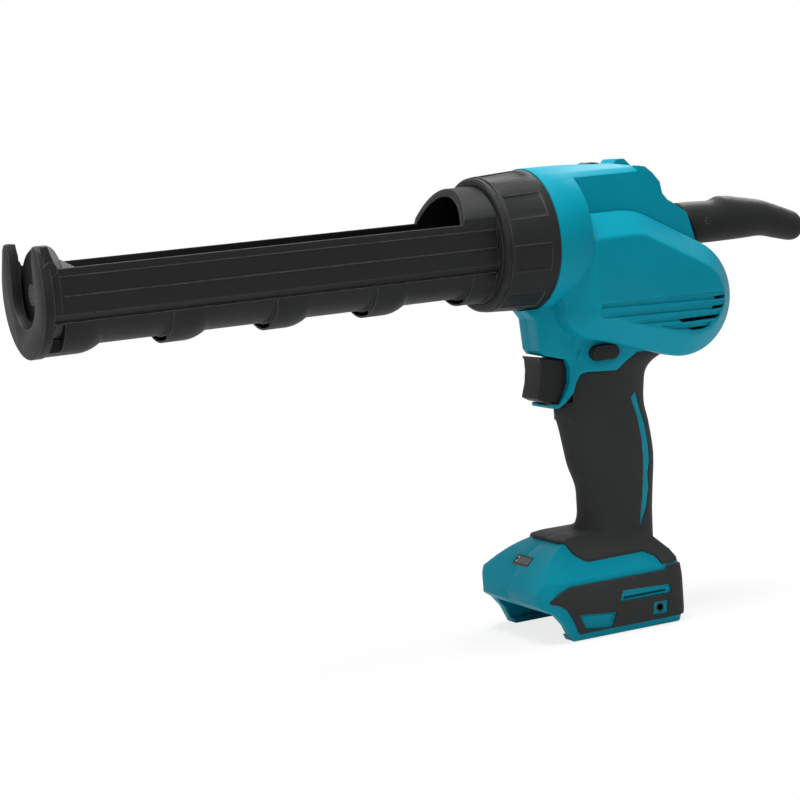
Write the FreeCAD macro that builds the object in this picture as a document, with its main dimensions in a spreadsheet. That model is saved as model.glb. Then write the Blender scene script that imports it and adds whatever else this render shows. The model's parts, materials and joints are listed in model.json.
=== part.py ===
import FreeCAD, Part
import math
import os
import re
import Sketcher
from FreeCAD import Placement, Rotation, Vector

# A cordless caulking tool. X runs along the push rod, with the nozzle end towards -X. Z is up and
# the tool's left side is at -Y. The origin is on the rod's axis at the front face of the collar.

SIZES = {
    # clearances and cuts
    "overrun": 3,
    "sliver_share": 0.01,
    "seat_gap": 0.15,
    "run_gap": 0.06,
    "slide_gap": 0.3,
    # cartridge holder
    "cartridge_radius": 25.25,
    "trough_wall": 2.5,
    "rim_top": 13.5,
    "rim_band": 4,
    "rim_step": 0.75,
    "wall_drop": 9.5,
    "ledge_drop": 13.6,
    "ledge_notch": 1.1,
    "ledge_rise": 0.4,
    "holder_reach": 257.5,
    "end_plate_thickness": 5,
    "horn_top": 25,
    "horn_half_width": 26.5,
    "horn_root": 9,
    "horn_round": 3,
    "nozzle_slot_radius": 17,
    "cheek_length": 10,
    "cheek_slant": 5,
    "cheek_width": 3.4,
    "cheek_boss_radius": 3.6,
    "cheek_boss_height": 0.5,
    "window_length": 7.5,
    "window_inner": 11,
    "window_top": 14.5,
    "window_bottom": 29,
    "rib_radius": 32.2,
    "rib_offset": 6.7,
    "rib_inset": 0.5,
    "rib_length": 11.5,
    "rib_run_out": 11.7,
    "rib_pitch": 57.7,
    "rib_count": 4,
    "rib_pocket_depth": 6,
    "rib_pocket_wall": 1.6,
    "rib_pocket_half_width": 10,
    "ring_wall": 4,
    "mouth_reach": 21,
    "mouth_lean": 7,
    "flange_thickness": 4,
    "flange_height": 2.2,
    # collar and nose
    "collar_length": 32.4,
    "collar_front_radius": 36.7,
    "collar_rear_radius": 38.7,
    "collar_lip": 7.5,
    "collar_chamfer": 1.2,
    "collar_bore_radius": 35,
    "collar_groove": 1.2,
    "pad_count": 8,
    "pad_depth": 0.8,
    "pad_margin": 5,
    "sleeve_wall": 5,
    "sleeve_flange_thickness": 3.3,
    "front_bush_thickness": 5.5,
    "bush_rib": 2.5,
    "bush_rib_height": 10,
    "rear_bush_length": 7,
    "rear_bush_wall": 4,
    # push rod
    "rod_width": 12,
    "rod_height": 14,
    "rod_travel": 225,
    "rod_socket_length": 30,
    "piston_gap": 2,
    "piston_radius": 23.6,
    "piston_thickness": 8,
    "piston_bevel": 1.5,
    "piston_cone_length": 14,
    "piston_cone_radius": 19.5,
    "piston_neck_radius": 11.4,
    "piston_socket_radius": 9.9,
    "piston_groove_place": 2,
    "piston_groove_width": 5,
    "piston_groove_depth": 2.2,
    "piston_ring_proud": 0.5,
    "washer_radius": 9.6,
    "washer_thickness": 3,
    "piston_screw_radius": 3,
    "piston_screw_length": 26,
    "piston_screw_head_radius": 5.5,
    "piston_screw_head_height": 2.4,
    "handle_radius": 12.2,
    "handle_reach": 85,
    "handle_bend": 9,
    "handle_sections": 24,
    "handle_slant": 6.5,
    "handle_gap": 6.4,
    "handle_chamfer": 2.4,
    "handle_pin_radius": 1.6,
    "handle_pin_sink": 1,
    "handle_pin_place": 9,
    # gear train
    "rack_module": 1.5,
    "rack_pinion_teeth": 12,
    "first_module": 0.8,
    "second_module": 1,
    "third_module": 1.25,
    "motor_pinion_teeth": 11,
    "first_gear_teeth": 42,
    "first_pinion_teeth": 12,
    "second_gear_teeth": 34,
    "second_pinion_teeth": 12,
    "final_gear_teeth": 24,
    "addendum_share": 0.8,
    "dedendum_share": 1.2,
    "tooth_width_share": 0.4,
    "flank_share": 0.364,
    "rack_shaft_place": 62,
    "final_angle": -21,
    "second_angle": -58.6,
    "first_angle": 7.3,
    "rack_pinion_width": 9,
    "clutch_dog_thickness": 2,
    "clutch_dog_radius": 7,
    "gear_gap": 0.5,
    "final_gear_width": 6,
    "second_gear_width": 5,
    "first_gear_width": 4,
    "rack_shaft_radius": 4,
    "gear_shaft_radius": 2.5,
    "bush_wall": 1.2,
    "gear_plate_thickness": 3,
    "gear_plate_margin": 10,
    "gear_plate_post_radius": 4,
    # motor
    "motor_radius": 16.5,
    "motor_wall": 1.5,
    "motor_length": 38,
    "motor_cap_thickness": 4,
    "motor_bearing_radius": 5,
    "motor_bearing_length": 4,
    "motor_shaft_radius": 2,
    "magnet_thickness": 2,
    "magnet_angle": 120,
    "armature_radius": 12.3,
    "armature_length": 26,
    "commutator_radius": 5.5,
    "commutator_length": 4.5,
    "brush_width": 5,
    "brush_length": 8,
    "fan_radius": 16,
    "fan_hub_radius": 5,
    "fan_thickness": 4,
    "fan_blade": 1.4,
    "fan_blades": 9,
    # housing
    "housing_wall": 2.8,
    "barrel_radius": 39.2,
    "front_wall": 3.3,
    "tower_front": 47,
    "tower_rear": 130.5,
    "tower_top": 39.5,
    "tower_half_width": 22,
    "tower_block_place": 94.5,
    "barrel_rear": 52.6,
    "ridge_place": 88,
    "ridge_length": 12,
    "ridge_height": 2.8,
    "ridge_half_width": 7,
    "bulge_front": 41,
    "bulge_top": 12,
    "bulge_shoulder": 88,
    "bulge_half_width": 39,
    "bulge_round": 14.5,
    "bulge_facet": 13,
    "bulge_edge_round": 4,
    "bulge_join_round": 0.01,
    "bulge_rear_radius": 33,
    "bulge_chin": 54,
    "bulge_floor_place": 62,
    "bulge_floor": 58.2,
    "groove_front": 54,
    "groove_length": 84,
    "groove_top": 36,
    "groove_height": 22,
    "groove_depth": 0.8,
    "chin_front": 22,
    "neck_rear": 121,
    "neck_top": 34,
    "neck_drop": 63,
    "neck_half_width": 19.5,
    "grip_top": 64,
    "grip_length": 108,
    "grip_front": 46,
    "grip_depth": 83.5,
    "grip_half_width": 18.4,
    "grip_sections": 20,
    "sleeve_thickness": 2.2,
    "grip_wall": 2.5,
    "foot_front": 6.4,
    "foot_length": 94.6,
    "foot_top": 168,
    "foot_height": 51.5,
    "foot_half_width": 36.5,
    "foot_corner": 10,
    "nose_points": 6,
    "oval_points": 16,
    "roof_half_width": 17,
    "roof_drop": 18,
    "bay_depth": 15.5,
    "bay_half_width": 30.5,
    "rail_width": 3.5,
    "rail_height": 3,
    "bay_rear": 9,
    "foot_void_height": 11,
    "foot_void_margin": 17,
    "bumper_thickness": 1.3,
    "skirt_thickness": 2,
    "skirt_round": 5,
    "card_slot_place": 58.4,
    "card_slot_length": 27.7,
    "card_slot_drop": 199.8,
    "card_slot_height": 1.3,
    "card_slot_depth": 3,
    "insert_radius": 2.5,
    "insert_bore_radius": 1.65,
    "insert_length": 5.5,
    "insert_place": 82,
    "insert_drop": 209.7,
    "screw_radius": 1.5,
    "screw_length": 24,
    "screw_head_radius": 3.2,
    "screw_head_height": 2.5,
    "screw_seat": 12,
    "screw_boss_radius": 5,
    # controls
    "trigger_front": 28.5,
    "trigger_length": 22,
    "trigger_top": 64.5,
    "trigger_height": 27,
    "trigger_half_width": 9.5,
    "trigger_travel": 6.5,
    "trigger_round": 2,
    "trigger_stem": 5,
    "switch_place": 64,
    "switch_length": 25,
    "switch_half_width": 11,
    "switch_top": 71,
    "switch_height": 22,
    "lock_place": 66.5,
    "lock_drop": 65.3,
    "lock_length": 17,
    "lock_height": 8.4,
    "lock_travel": 4,
    "lock_proud": 4,
    "dial_place": 76.5,
    "dial_radius": 9.3,
    "dial_half_width": 5.5,
    "dial_proud": 0.9,
    "dial_axle_radius": 2,
    "dial_axle_length": 2.5,
    "dial_notches": 16,
    "dial_notch": 0.7,
    # electrics
    "terminal_length": 38,
    "terminal_half_width": 21,
    "terminal_height": 3.5,
    "terminal_place": 46,
    "blade_length": 14,
    "blade_height": 6,
    "blade_thickness": 0.8,
    "blade_spacing": 28,
    "board_length": 40,
    "board_half_width": 14,
    "board_thickness": 1.6,
    "lens_half_width": 8,
    "lens_length": 6,
    "lens_depth": 2,
}

# Outlines below are shares of the length and height of the piece that they belong to.
tower_outline_shares = [
    (0, 1), (0.44, 0.955), (0.63, 0.88), (0.685, 0.785), (0.74, 0.645),
    (0.755, 0.48), (0.79, 0.39), (0.875, 0.275), (0.94, 0.175), (1, -0.25),
]
neck_outline_shares = [
    (0, 0), (0.084, 0.159), (0.099, 0.43), (0.124, 0.48), (0.242, 0.53), (0.258, 0.611),
    (0.251, 0.746), (0.217, 0.857), (0.187, 0.924), (0.141, 0.917), (0.146, 0.965), (0.35, 0.965), (0.53, 0.75),
    (0.85, 0.571), (1, 0.5), (1, 0),
]
lip_outline_shares = [
    (0.148, 0.955), (0.17, 0.98), (0.227, 1.032), (0.283, 1.111), (0.343, 1.111), (0.343, 0.955),
]
# Along the neck and its half width, from the chin to where the sides run straight.
neck_plan_shares = [
    (-0.04, 0.31), (0.04, 0.41), (0.101, 0.49), (0.162, 0.585), (0.242, 0.68), (0.323, 0.84), (0.404, 0.97),
    (0.485, 1),
]
soft_outline_shares = [
    (0.081, 0.952), (0.182, 0.952), (0.222, 0.913), (0.268, 0.833), (0.288, 0.738), (0.313, 0.671),
    (0.348, 0.654), (0.528, 0.671), (0.593, 0.602), (0.669, 0.535), (1.04, 0.535), (1.04, 2.62), (0.081, 2.62),
]
stripe_outline_shares = [
    (0.511, 0.247), (0.466, 0.272), (0.511, 0.37), (0.535, 0.5), (0.535, 0.639), (0.513, 0.796),
    (0.473, 0.949), (0.55, 0.861), (0.583, 0.769), (0.581, 0.676), (0.602, 0.63), (0.605, 0.546), (0.59, 0.444),
]
foot_outline_shares = [
    (0, 0.583), (0.017, 0.408), (0.075, 0.262), (0.144, 0.146), (0.218, 0.068), (0.408, 0),
    (0.82, 0), (0.926, 0.252), (1, 0.68), (0.989, 0.835), (0.937, 1), (0.197, 1), (0.149, 0.816),
    (0.091, 0.689),
]
bumper_outline_shares = [
    (0.187, 0.408), (0.105, 0.466), (0.053, 0.536), (0.06, 0.563), (0.11, 0.583), (0.156, 0.64),
    (0.192, 0.748), (0.234, 0.93), (0.973, 0.93), (1.003, 0.835), (1.0137, 0.68), (0.96, 0.36),
    (0.862, 0.36), (0.845, 0.408),
]
badge_outline_shares = [(0.238, 0.722), (0.498, 0.767), (0.456, 0.926), (0.276, 0.893)]
slot_outline_shares = [(0.543, 0.544), (0.871, 0.571), (0.883, 0.672), (0.518, 0.666)]
insert_outline_shares = [(0.752, 0.742), (0.856, 0.742), (0.844, 0.885), (0.74, 0.885)]
skirt_outline_shares = [
    (0.275, 0.36), (0.305, 0.66), (0.365, 0.79), (0.757, 0.78), (0.82, 0.877), (0.845, 1.2), (1.2, 1.2),
]
trigger_outline_shares = [
    (0.09, 0.015), (0.97, 0.15), (1, 0.3), (0.98, 0.62), (0.87, 0.86), (0.7, 0.98), (0.5, 1.02),
    (0.2, 0.96), (0, 0.87), (0.11, 0.57), (0.15, 0.32), (0.14, 0.1),
]
# Down the grip: distance down, front, rear and half width.
grip_section_shares = [
    (0, 0, 0.99, 1), (0.055, 0.012, 0.9, 0.995), (0.102, 0.012, 0.757, 0.985), (0.148, 0.006, 0.687, 0.975),
    (0.222, 0, 0.668, 0.96), (0.306, -0.006, 0.66, 0.95), (0.435, 0.025, 0.69, 0.95), (0.593, 0.062, 0.711, 0.935),
    (0.759, 0.122, 0.69, 0.89), (0.87, 0.12, 0.675, 0.88), (0.954, 0.06, 0.668, 0.95), (1, 0, 0.663, 1.04),
    (1.1, -0.015, 0.658, 1.07), (1.2, -0.015, 0.655, 1.07),
]
# Along the pull handle: distance back, drop, half height and half width.
handle_section_shares = [
    (0, 0.09, 1, 0.97), (0.16, 0.11, 0.995, 0.97), (0.31, 0.14, 0.98, 0.96), (0.37, 0.035, 1.055, 0.97),
    (0.42, 0.04, 1.05, 0.97), (0.53, 0.12, 0.98, 0.95), (0.67, 0.24, 0.87, 0.9), (0.83, 0.69, 0.795, 0.85),
    (0.925, 0.96, 0.72, 0.78), (0.968, 1, 0.53, 0.6), (1, 1, 0.2, 0.26),
]
# Along the side grooves and down them. Each vent opens the rear end of its groove.
groove_outline_shares = [
    [(0.011, 0.009), (0.989, 0.064), (0.986, 0.273), (0.014, 0.141)],
    [(0.012, 0.25), (0.976, 0.318), (0.96, 0.505), (0.02, 0.391)],
    [(0.164, 0.509), (0.939, 0.564), (0.905, 0.745), (0.252, 0.636)],
    [(0.451, 0.764), (0.869, 0.809), (0.789, 0.977), (0.581, 0.905)],
]
vent_outline_shares = [
    [(0.899, 0.182), (0.988, 0.177), (0.982, 0.259), (0.9, 0.268)],
    [(0.885, 0.427), (0.971, 0.418), (0.958, 0.5), (0.867, 0.509)],
    [(0.607, 0.65), (0.937, 0.65), (0.906, 0.745), (0.625, 0.745)],
    [(0.671, 0.895), (0.86, 0.891), (0.789, 0.977), (0.708, 0.973)],
]

doc = FreeCAD.newDocument("caulking_tool")
sheet = doc.addObject("Spreadsheet::Sheet", "Sizes")
for row, (alias, number) in enumerate(SIZES.items(), start=1):
    sheet.set(f"A{row}", alias)
    sheet.set(f"B{row}", str(number))
    sheet.setAlias(f"B{row}", alias)
doc.recompute()
nodes = []


class SheetSizes:
    """Reads a driving dimension from the sheet by its alias."""

    def __getattr__(self, alias):
        return float(sheet.get(alias))


size = SheetSizes()


def formula(text):
    """An expression in aliases, written the way the document reads it."""
    return re.sub(r"[a-z_]\w*", lambda word: f"Sizes.{word[0]}" if word[0] in SIZES else word[0], text)


def worth(text):
    """The value of an expression in aliases."""
    return float(sheet.evalExpression(formula(text)))


def bind(item, **expressions):
    """Ties properties of a document object to the sheet."""
    for name, text in expressions.items():
        item.setExpression(name.replace("__", "."), formula(text))


def keep(item):
    """Marks a document object as a piece of the tool."""
    nodes.append(item)
    return item


# Sketched bodies


def new_body(label, place=Vector(), turn=Rotation()):
    body = doc.addObject("PartDesign::Body", label)
    body.Label = label
    body.Placement = Placement(place, turn)
    return keep(body)


def origin_item(body, role):
    return next(item for item in body.Origin.OriginFeatures if item.Role == role)


def new_sketch(body, role, lift="0"):
    sketch = body.newObject("Sketcher::SketchObject", f"{body.Name}_sketch")
    sketch.AttachmentSupport = [(origin_item(body, role), "")]
    sketch.MapMode = "FlatFace"
    sketch.setExpression("AttachmentOffset.Base.z", formula(lift))
    return sketch


def polygon(body, role, points, lift="0"):
    """A closed sketch whose corners are expressions in aliases."""
    sketch = new_sketch(body, role, lift)
    corners = [Vector(worth(u), worth(v), 0) for u, v in points]
    count = len(corners)
    for place in range(count):
        sketch.addGeometry(Part.LineSegment(corners[place], corners[(place + 1) % count]))
    for place in range(count):
        sketch.addConstraint(Sketcher.Constraint("Coincident", place, 2, (place + 1) % count, 1))
    for place, pair in enumerate(points):
        for kind, text in zip(("DistanceX", "DistanceY"), pair):
            number = sketch.addConstraint(Sketcher.Constraint(kind, -1, 1, place, 1, worth(text)))
            sketch.setExpression(f"Constraints[{number}]", formula(text))
    return sketch


def circle(body, role, radius, lift="0"):
    """A sketch of one circle about the body's axis."""
    sketch = new_sketch(body, role, lift)
    sketch.addGeometry(Part.Circle(Vector(), Vector(0, 0, 1), worth(radius)))
    sketch.addConstraint(Sketcher.Constraint("Coincident", 0, 3, -1, 1))
    number = sketch.addConstraint(Sketcher.Constraint("Radius", 0, worth(radius)))
    sketch.setExpression(f"Constraints[{number}]", formula(radius))
    return sketch


def pad(body, sketch, length):
    feature = body.newObject("PartDesign::Pad", f"{body.Name}_pad")
    feature.Profile = sketch
    bind(feature, Length=length)
    return feature


def through_pocket(body, sketch):
    feature = body.newObject("PartDesign::Pocket", f"{body.Name}_pocket")
    feature.Profile = sketch
    feature.Type = "ThroughAll"
    feature.Midplane = True
    return feature


def turned(body, points):
    """A solid of revolution about X from its half section in X and radius."""
    feature = body.newObject("PartDesign::Revolution", f"{body.Name}_turned")
    feature.Profile = polygon(body, "XZ_Plane", points)
    feature.ReferenceAxis = (origin_item(body, "X_Axis"), [""])
    return feature


def polar(body, feature, role, count):
    pattern = body.newObject("PartDesign::PolarPattern", f"{body.Name}_pattern")
    pattern.Originals = [feature]
    pattern.Axis = (origin_item(body, role), [""])
    bind(pattern, Occurrences=count)
    body.Tip = pattern
    return pattern


# Part primitives and booleans

turns = {"X": Rotation(Vector(0, 1, 0), 90), "Y": Rotation(Vector(1, 0, 0), -90), "Z": Rotation()}


def cylinder(name, axis, start, radius, length):
    """A round bar along an axis from a start point, all given as expressions."""
    item = doc.addObject("Part::Cylinder", name)
    item.Placement = Placement(Vector(), turns[axis])
    bind(item, Radius=radius, Height=length, Placement__Base__x=start[0])
    bind(item, Placement__Base__y=start[1], Placement__Base__z=start[2])
    return item


def block(name, corner, lengths):
    """A box from its low corner and its three lengths, all given as expressions."""
    item = doc.addObject("Part::Box", name)
    bind(item, Length=lengths[0], Width=lengths[1], Height=lengths[2])
    bind(item, Placement__Base__x=corner[0], Placement__Base__y=corner[1], Placement__Base__z=corner[2])
    return item


def cut(name, base, tool):
    item = doc.addObject("Part::Cut", name)
    item.Base = base
    item.Tool = tool
    return item


def join(name, items):
    item = doc.addObject("Part::MultiFuse", name)
    item.Shapes = items
    return item


def tube(name, axis, start, outer, inner, length):
    """A round tube along an axis."""
    ahead = list(start)
    ahead["XYZ".index(axis)] += " - overrun"
    wall = cylinder(f"{name}_outside", axis, start, outer, length)
    hole = cylinder(f"{name}_inside", axis, ahead, inner, f"{length} + 2 * overrun")
    return cut(name, wall, hole)


# Shapes that the sketches and primitives above can't give


def across(u, v):
    return Vector(0, u, v)


def side(u, v):
    return Vector(u, 0, v)


def plan(u, v):
    return Vector(u, v, 0)


def outline(place, path):
    """A closed face through points. A pair of points is an arc through the first to the second."""
    edges = []
    here = path[0]
    for step in path[1:] + path[:1]:
        if isinstance(step[0], tuple):
            edges.append(Part.Arc(place(*here), place(*step[0]), place(*step[1])).toShape())
            here = step[1]
        else:
            edges.append(Part.LineSegment(place(*here), place(*step)).toShape())
            here = step
    return Part.Face(Part.Wire(edges))


def rounded(corners, radii):
    """A path with each corner replaced by a tangent arc of its radius."""
    path = []
    count = len(corners)
    for place, corner in enumerate(corners):
        here = Vector(*corner, 0)
        before = (Vector(*corners[place - 1], 0) - here).normalize()
        after = (Vector(*corners[(place + 1) % count], 0) - here).normalize()
        half = before.getAngle(after) / 2
        reach = radii[place] / math.tan(half)
        middle = (before + after).normalize() * (radii[place] / math.sin(half) - radii[place])
        first = here + before * reach
        bend = here + middle
        last = here + after * reach
        path.append((first.x, first.y))
        path.append(((bend.x, bend.y), (last.x, last.y)))
    return path


def slab(face, start, direction):
    """A face moved to a start and drawn out along a direction."""
    moved = face.copy()
    moved.translate(start)
    return moved.extrude(direction)


def spread(face, half):
    """A side outline drawn out to both sides of the middle plane."""
    return slab(face, Vector(0, -half, 0), Vector(0, 2 * half, 0))


def round_bar(start, direction, radius):
    return Part.makeCylinder(radius, direction.Length, start, direction)


def box_between(low, high):
    return Part.makeBox(high.x - low.x, high.y - low.y, high.z - low.z, low)


def union(shapes):
    return shapes[0].fuse(shapes[1:]).removeSplitter()


def feature(label, shape):
    item = doc.addObject("Part::Feature", label)
    item.Label = label
    item.Shape = shape
    return keep(item)


def placed(shares, start, length, top, height):
    """Share points set on a piece, with the second share measured downwards."""
    return [(start + along * length, top - down * height) for along, down in shares]


# Places shared by several pieces


def gear_radius(teeth, module):
    return teeth * module / 2


def step_from(place, distance, angle):
    turn = math.radians(angle)
    return Vector(place.x + distance * math.cos(turn), 0, place.z + distance * math.sin(turn))


rack_radius = gear_radius(size.rack_pinion_teeth, size.rack_module)
rack_pitch_drop = size.rod_height / 2 - size.rack_module * size.addendum_share
rack_shaft = Vector(size.rack_shaft_place, 0, -rack_pitch_drop - rack_radius)
third_reach = gear_radius(size.second_pinion_teeth + size.final_gear_teeth, size.third_module)
second_reach = gear_radius(size.first_pinion_teeth + size.second_gear_teeth, size.second_module)
first_reach = gear_radius(size.motor_pinion_teeth + size.first_gear_teeth, size.first_module)
second_shaft = step_from(rack_shaft, third_reach, size.final_angle)
first_shaft = step_from(second_shaft, second_reach, size.second_angle)
motor_axis = step_from(first_shaft, first_reach, size.first_angle)

# Across the gear train, from the rack pinion's side towards +Y.
dog_side = size.rack_pinion_width / 2
final_side = dog_side + size.clutch_dog_thickness + size.gear_gap
second_side = final_side + size.final_gear_width + size.gear_gap
first_side = second_side + size.second_gear_width + size.gear_gap
right_plate_side = first_side + size.first_gear_width + size.gear_gap
right_plate_end = right_plate_side + size.gear_plate_thickness
left_plate_side = -size.rod_width / 2 - size.gear_gap * 4
left_plate_end = left_plate_side - size.gear_plate_thickness
motor_front = second_side - size.gear_gap
motor_back = motor_front - size.motor_length
cap_back = motor_back - size.motor_cap_thickness
fan_back = cap_back - size.gear_gap - size.fan_thickness

piston_front = -size.holder_reach + size.end_plate_thickness + size.piston_gap
rod_front = piston_front + size.piston_thickness + size.washer_thickness
housing_front = size.collar_length + size.slide_gap
flange_front = size.collar_lip + size.slide_gap
sleeve_front = flange_front + size.flange_thickness + size.slide_gap
sleeve_back = housing_front + size.front_wall + size.seat_gap + size.sleeve_flange_thickness
bush_back = sleeve_back + size.seat_gap + size.front_bush_thickness
barrel_bore = size.barrel_radius - size.housing_wall


def tower_rear_at(height):
    """Where the slanted rear face of the tower is at a height."""
    (upper_x, upper_z), (lower_x, lower_z) = tower_points()[-2:]
    return upper_x + (height - upper_z) * (lower_x - upper_x) / (lower_z - upper_z)


def tower_points():
    length = size.tower_rear - size.tower_front
    return [(size.tower_front + along * length, up * size.tower_top) for along, up in tower_outline_shares]


handle_front = tower_rear_at(0) + size.handle_gap
rod_length = handle_front + size.rod_socket_length - rod_front


# The cartridge holder


def trough_path():
    bore = size.cartridge_radius
    outer = bore + size.trough_wall
    wall = outer - size.rim_step
    ledge = math.sqrt(outer ** 2 - size.ledge_drop ** 2)
    step = size.rim_top - size.rim_band
    right = [(outer, size.rim_top), (outer, step), (wall, step), (wall, -size.wall_drop)]
    right.append((ledge - size.ledge_notch, size.ledge_rise - size.ledge_drop))
    left = [(-u, v) for u, v in reversed(right)]
    path = right + [(ledge, -size.ledge_drop), ((0, -outer), (-ledge, -size.ledge_drop))]
    path += left + [(-bore, size.rim_top), (-bore, 0), ((0, -bore), (bore, 0)), (bore, size.rim_top)]
    return path


def end_plate(face):
    """The slotted plate that the cartridge's shoulder presses on, with a horn each side of the slot."""
    radius = size.rib_radius
    slot = size.nozzle_slot_radius
    root = math.sqrt(radius ** 2 - size.horn_root ** 2)
    bend = size.horn_round
    top = size.horn_top
    horn = size.horn_half_width
    path = [(-slot - bend, top), (-horn + bend, top), (-horn, top - bend), (-root, size.horn_root)]
    path += [((0, -radius), (root, size.horn_root)), (horn, top - bend), (horn - bend, top)]
    path += [(slot + bend, top), (slot, top - 2 * bend), (slot, 0)]
    path += [((0, -slot), (-slot, 0)), (-slot, top - 2 * bend)]
    return slab(outline(across, path), Vector(face, 0, 0), Vector(size.end_plate_thickness, 0, 0))


def cheeks(face):
    """The side flanges behind the horns, with a slanted rear edge and a round boss."""
    back = face + size.end_plate_thickness / 2
    end = face + size.cheek_length
    corners = [(back, -size.wall_drop), (end, -size.wall_drop), (end, size.rim_top - size.rim_band)]
    corners += [(end - size.cheek_slant, size.horn_top), (back, size.horn_top)]
    flank = outline(side, corners)
    start = size.cartridge_radius
    pieces = []
    for sign in (-1, 1):
        pieces.append(slab(flank, Vector(0, sign * start, 0), Vector(0, sign * size.cheek_width, 0)))
        foot = Vector(face + size.cheek_length - size.cheek_boss_radius * 1.3, sign * start, size.rim_top)
        reach = size.cheek_width + size.cheek_boss_height
        pieces.append(round_bar(foot, Vector(0, sign * reach, 0), size.cheek_boss_radius))
    return pieces


def rib(front, start):
    """A rib under the trough, deepest at the bottom: steep in front, running out behind."""
    outer = size.cartridge_radius + size.trough_wall - size.rib_offset
    radius = size.rib_radius - size.rib_inset - size.rib_offset
    root = outer - size.trough_wall / 2
    flat = front + size.rib_length
    end = flat + size.rib_run_out
    height = radius - outer
    bend = (size.rib_run_out ** 2 + height ** 2) / (2 * height)
    turn = math.asin(size.rib_run_out / bend) / 2
    middle = (flat + bend * math.sin(turn), radius - bend + bend * math.cos(turn))
    path = [(start, root), (start, radius), (flat, radius), (middle, (end, outer)), (end, root)]
    solid = outline(side, path).revolve(Vector(), Vector(1, 0, 0), 360)
    solid.translate(Vector(0, 0, -size.rib_offset))
    return solid.cut(trough_bore(start, end))


def trough_bore(start, end):
    """The round space of the cartridge, with half the wall round it."""
    return round_bar(Vector(start, 0, 0), Vector(end - start, 0, 0), size.cartridge_radius + size.trough_wall / 2)


def below_ledge(start, end):
    reach = size.rib_radius + size.overrun
    return box_between(Vector(start, -reach, -reach), Vector(end, reach, -size.ledge_drop))


def rib_pocket(front):
    """The hollow in a rib's front face."""
    outer = size.cartridge_radius + size.trough_wall + size.rib_pocket_wall / 2
    inner_face = size.rib_radius - size.rib_pocket_wall
    start = Vector(front - size.overrun, 0, 0)
    reach = Vector(size.rib_pocket_depth + size.overrun, 0, 0)
    ring = round_bar(start, reach, inner_face).cut(round_bar(start, reach, outer))
    half = size.rib_pocket_half_width
    low = Vector(start.x, -half, -size.rib_radius)
    return ring.common(box_between(low, Vector(start.x + reach.x, half, 0)))


def rear_ring(rib_front):
    """The ring that the collar clamps, with its slanted mouth above the trough and its flange."""
    radius = size.rib_radius
    bore = radius - size.ring_wall
    half = size.cartridge_radius + size.trough_wall
    top = radius + size.overrun
    low = size.rim_top - size.rim_band
    mouth = [(-size.mouth_reach, low), (-size.mouth_reach, size.rim_top)]
    mouth += [(size.mouth_lean - size.mouth_reach, radius), (size.mouth_lean - size.mouth_reach, top)]
    mouth += [(0, top), (0, low)]
    front = Vector(-size.mouth_reach, 0, 0)
    flange_back = flange_front + size.flange_thickness
    hull = round_bar(front, Vector(size.mouth_reach, 0, 0), radius).common(spread(outline(side, mouth), half))
    neck = round_bar(Vector(), Vector(flange_back, 0, 0), radius)
    flange = round_bar(Vector(flange_front, 0, 0), Vector(size.flange_thickness, 0, 0), radius + size.flange_height)
    hole = round_bar(front, Vector(size.mouth_reach + flange_back + size.overrun, 0, 0), bore)
    depth = radius - size.rib_inset - size.rib_offset
    base = round_bar(Vector(rib_front, 0, -size.rib_offset), Vector(-rib_front, 0, 0), depth)
    base = base.common(below_ledge(rib_front, 0)).cut(trough_bore(rib_front, 0))
    return hull.fuse([neck, flange]).cut(hole).fuse(base)


def holder_windows(back):
    """The openings beside the end plate that show the piston."""
    outer = size.rib_radius + size.overrun
    pieces = []
    for low, high in ((-outer, -size.window_inner), (size.window_inner, outer)):
        corner = Vector(back, low, -size.window_bottom)
        pieces.append(box_between(corner, Vector(back + size.window_length, high, -size.window_top)))
    return pieces


def cartridge_holder():
    face = -size.holder_reach
    back = face + size.end_plate_thickness
    first = back + size.window_length
    fronts = [first + number * size.rib_pitch for number in range(int(size.rib_count) + 1)]
    trough = slab(outline(across, trough_path()), Vector(back, 0, 0), Vector(-back, 0, 0))
    ribs = [rib(fronts[0], back)] + [rib(front, front) for front in fronts[1:-1]]
    lower = [piece.common(below_ledge(face, 0)) for piece in ribs]
    body = trough.fuse([end_plate(face)] + cheeks(face) + lower + [rear_ring(fronts[-1])])
    body = body.cut(holder_windows(back) + [rib_pocket(front) for front in fronts[1:]])
    feature("cartridge_holder", body.removeSplitter())


# The collar and the nose


def holder_collar():
    body = new_body("holder_collar")
    lip = "rib_radius + slide_gap"
    points = [("0", lip), ("0", "collar_front_radius - collar_chamfer")]
    points += [("collar_chamfer", "collar_front_radius"), ("pad_margin / 2", "collar_front_radius")]
    points += [("pad_margin / 2", "collar_front_radius - collar_groove / 2")]
    points += [("pad_margin / 2 + collar_groove", "collar_front_radius - collar_groove / 2")]
    points += [("pad_margin / 2 + collar_groove", "collar_front_radius + pad_depth / 2")]
    points += [("collar_length", "collar_rear_radius"), ("collar_length", "collar_bore_radius")]
    points += [("collar_lip", "collar_bore_radius"), ("collar_lip", lip)]
    turned(body, points)
    doc.recompute()
    before = body.Shape.Volume
    recess = body.newObject("PartDesign::Groove", "collar_recess")
    floor = "collar_front_radius - pad_depth / 2"
    rise = "collar_rear_radius - pad_depth"
    corners = [("pad_margin", floor), ("collar_length - pad_margin", rise)]
    corners += [("collar_length - pad_margin", "collar_rear_radius + overrun")]
    corners += [("pad_margin", "collar_rear_radius + overrun")]
    recess.Profile = polygon(body, "XZ_Plane", corners)
    recess.ReferenceAxis = (origin_item(body, "X_Axis"), [""])
    bind(recess, Angle="180 / pad_count")
    doc.recompute()
    polar(body, recess, "X_Axis", "pad_count")
    doc.recompute()
    if body.Shape.Volume >= before:
        raise RuntimeError("the collar's recesses cut nothing")


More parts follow.
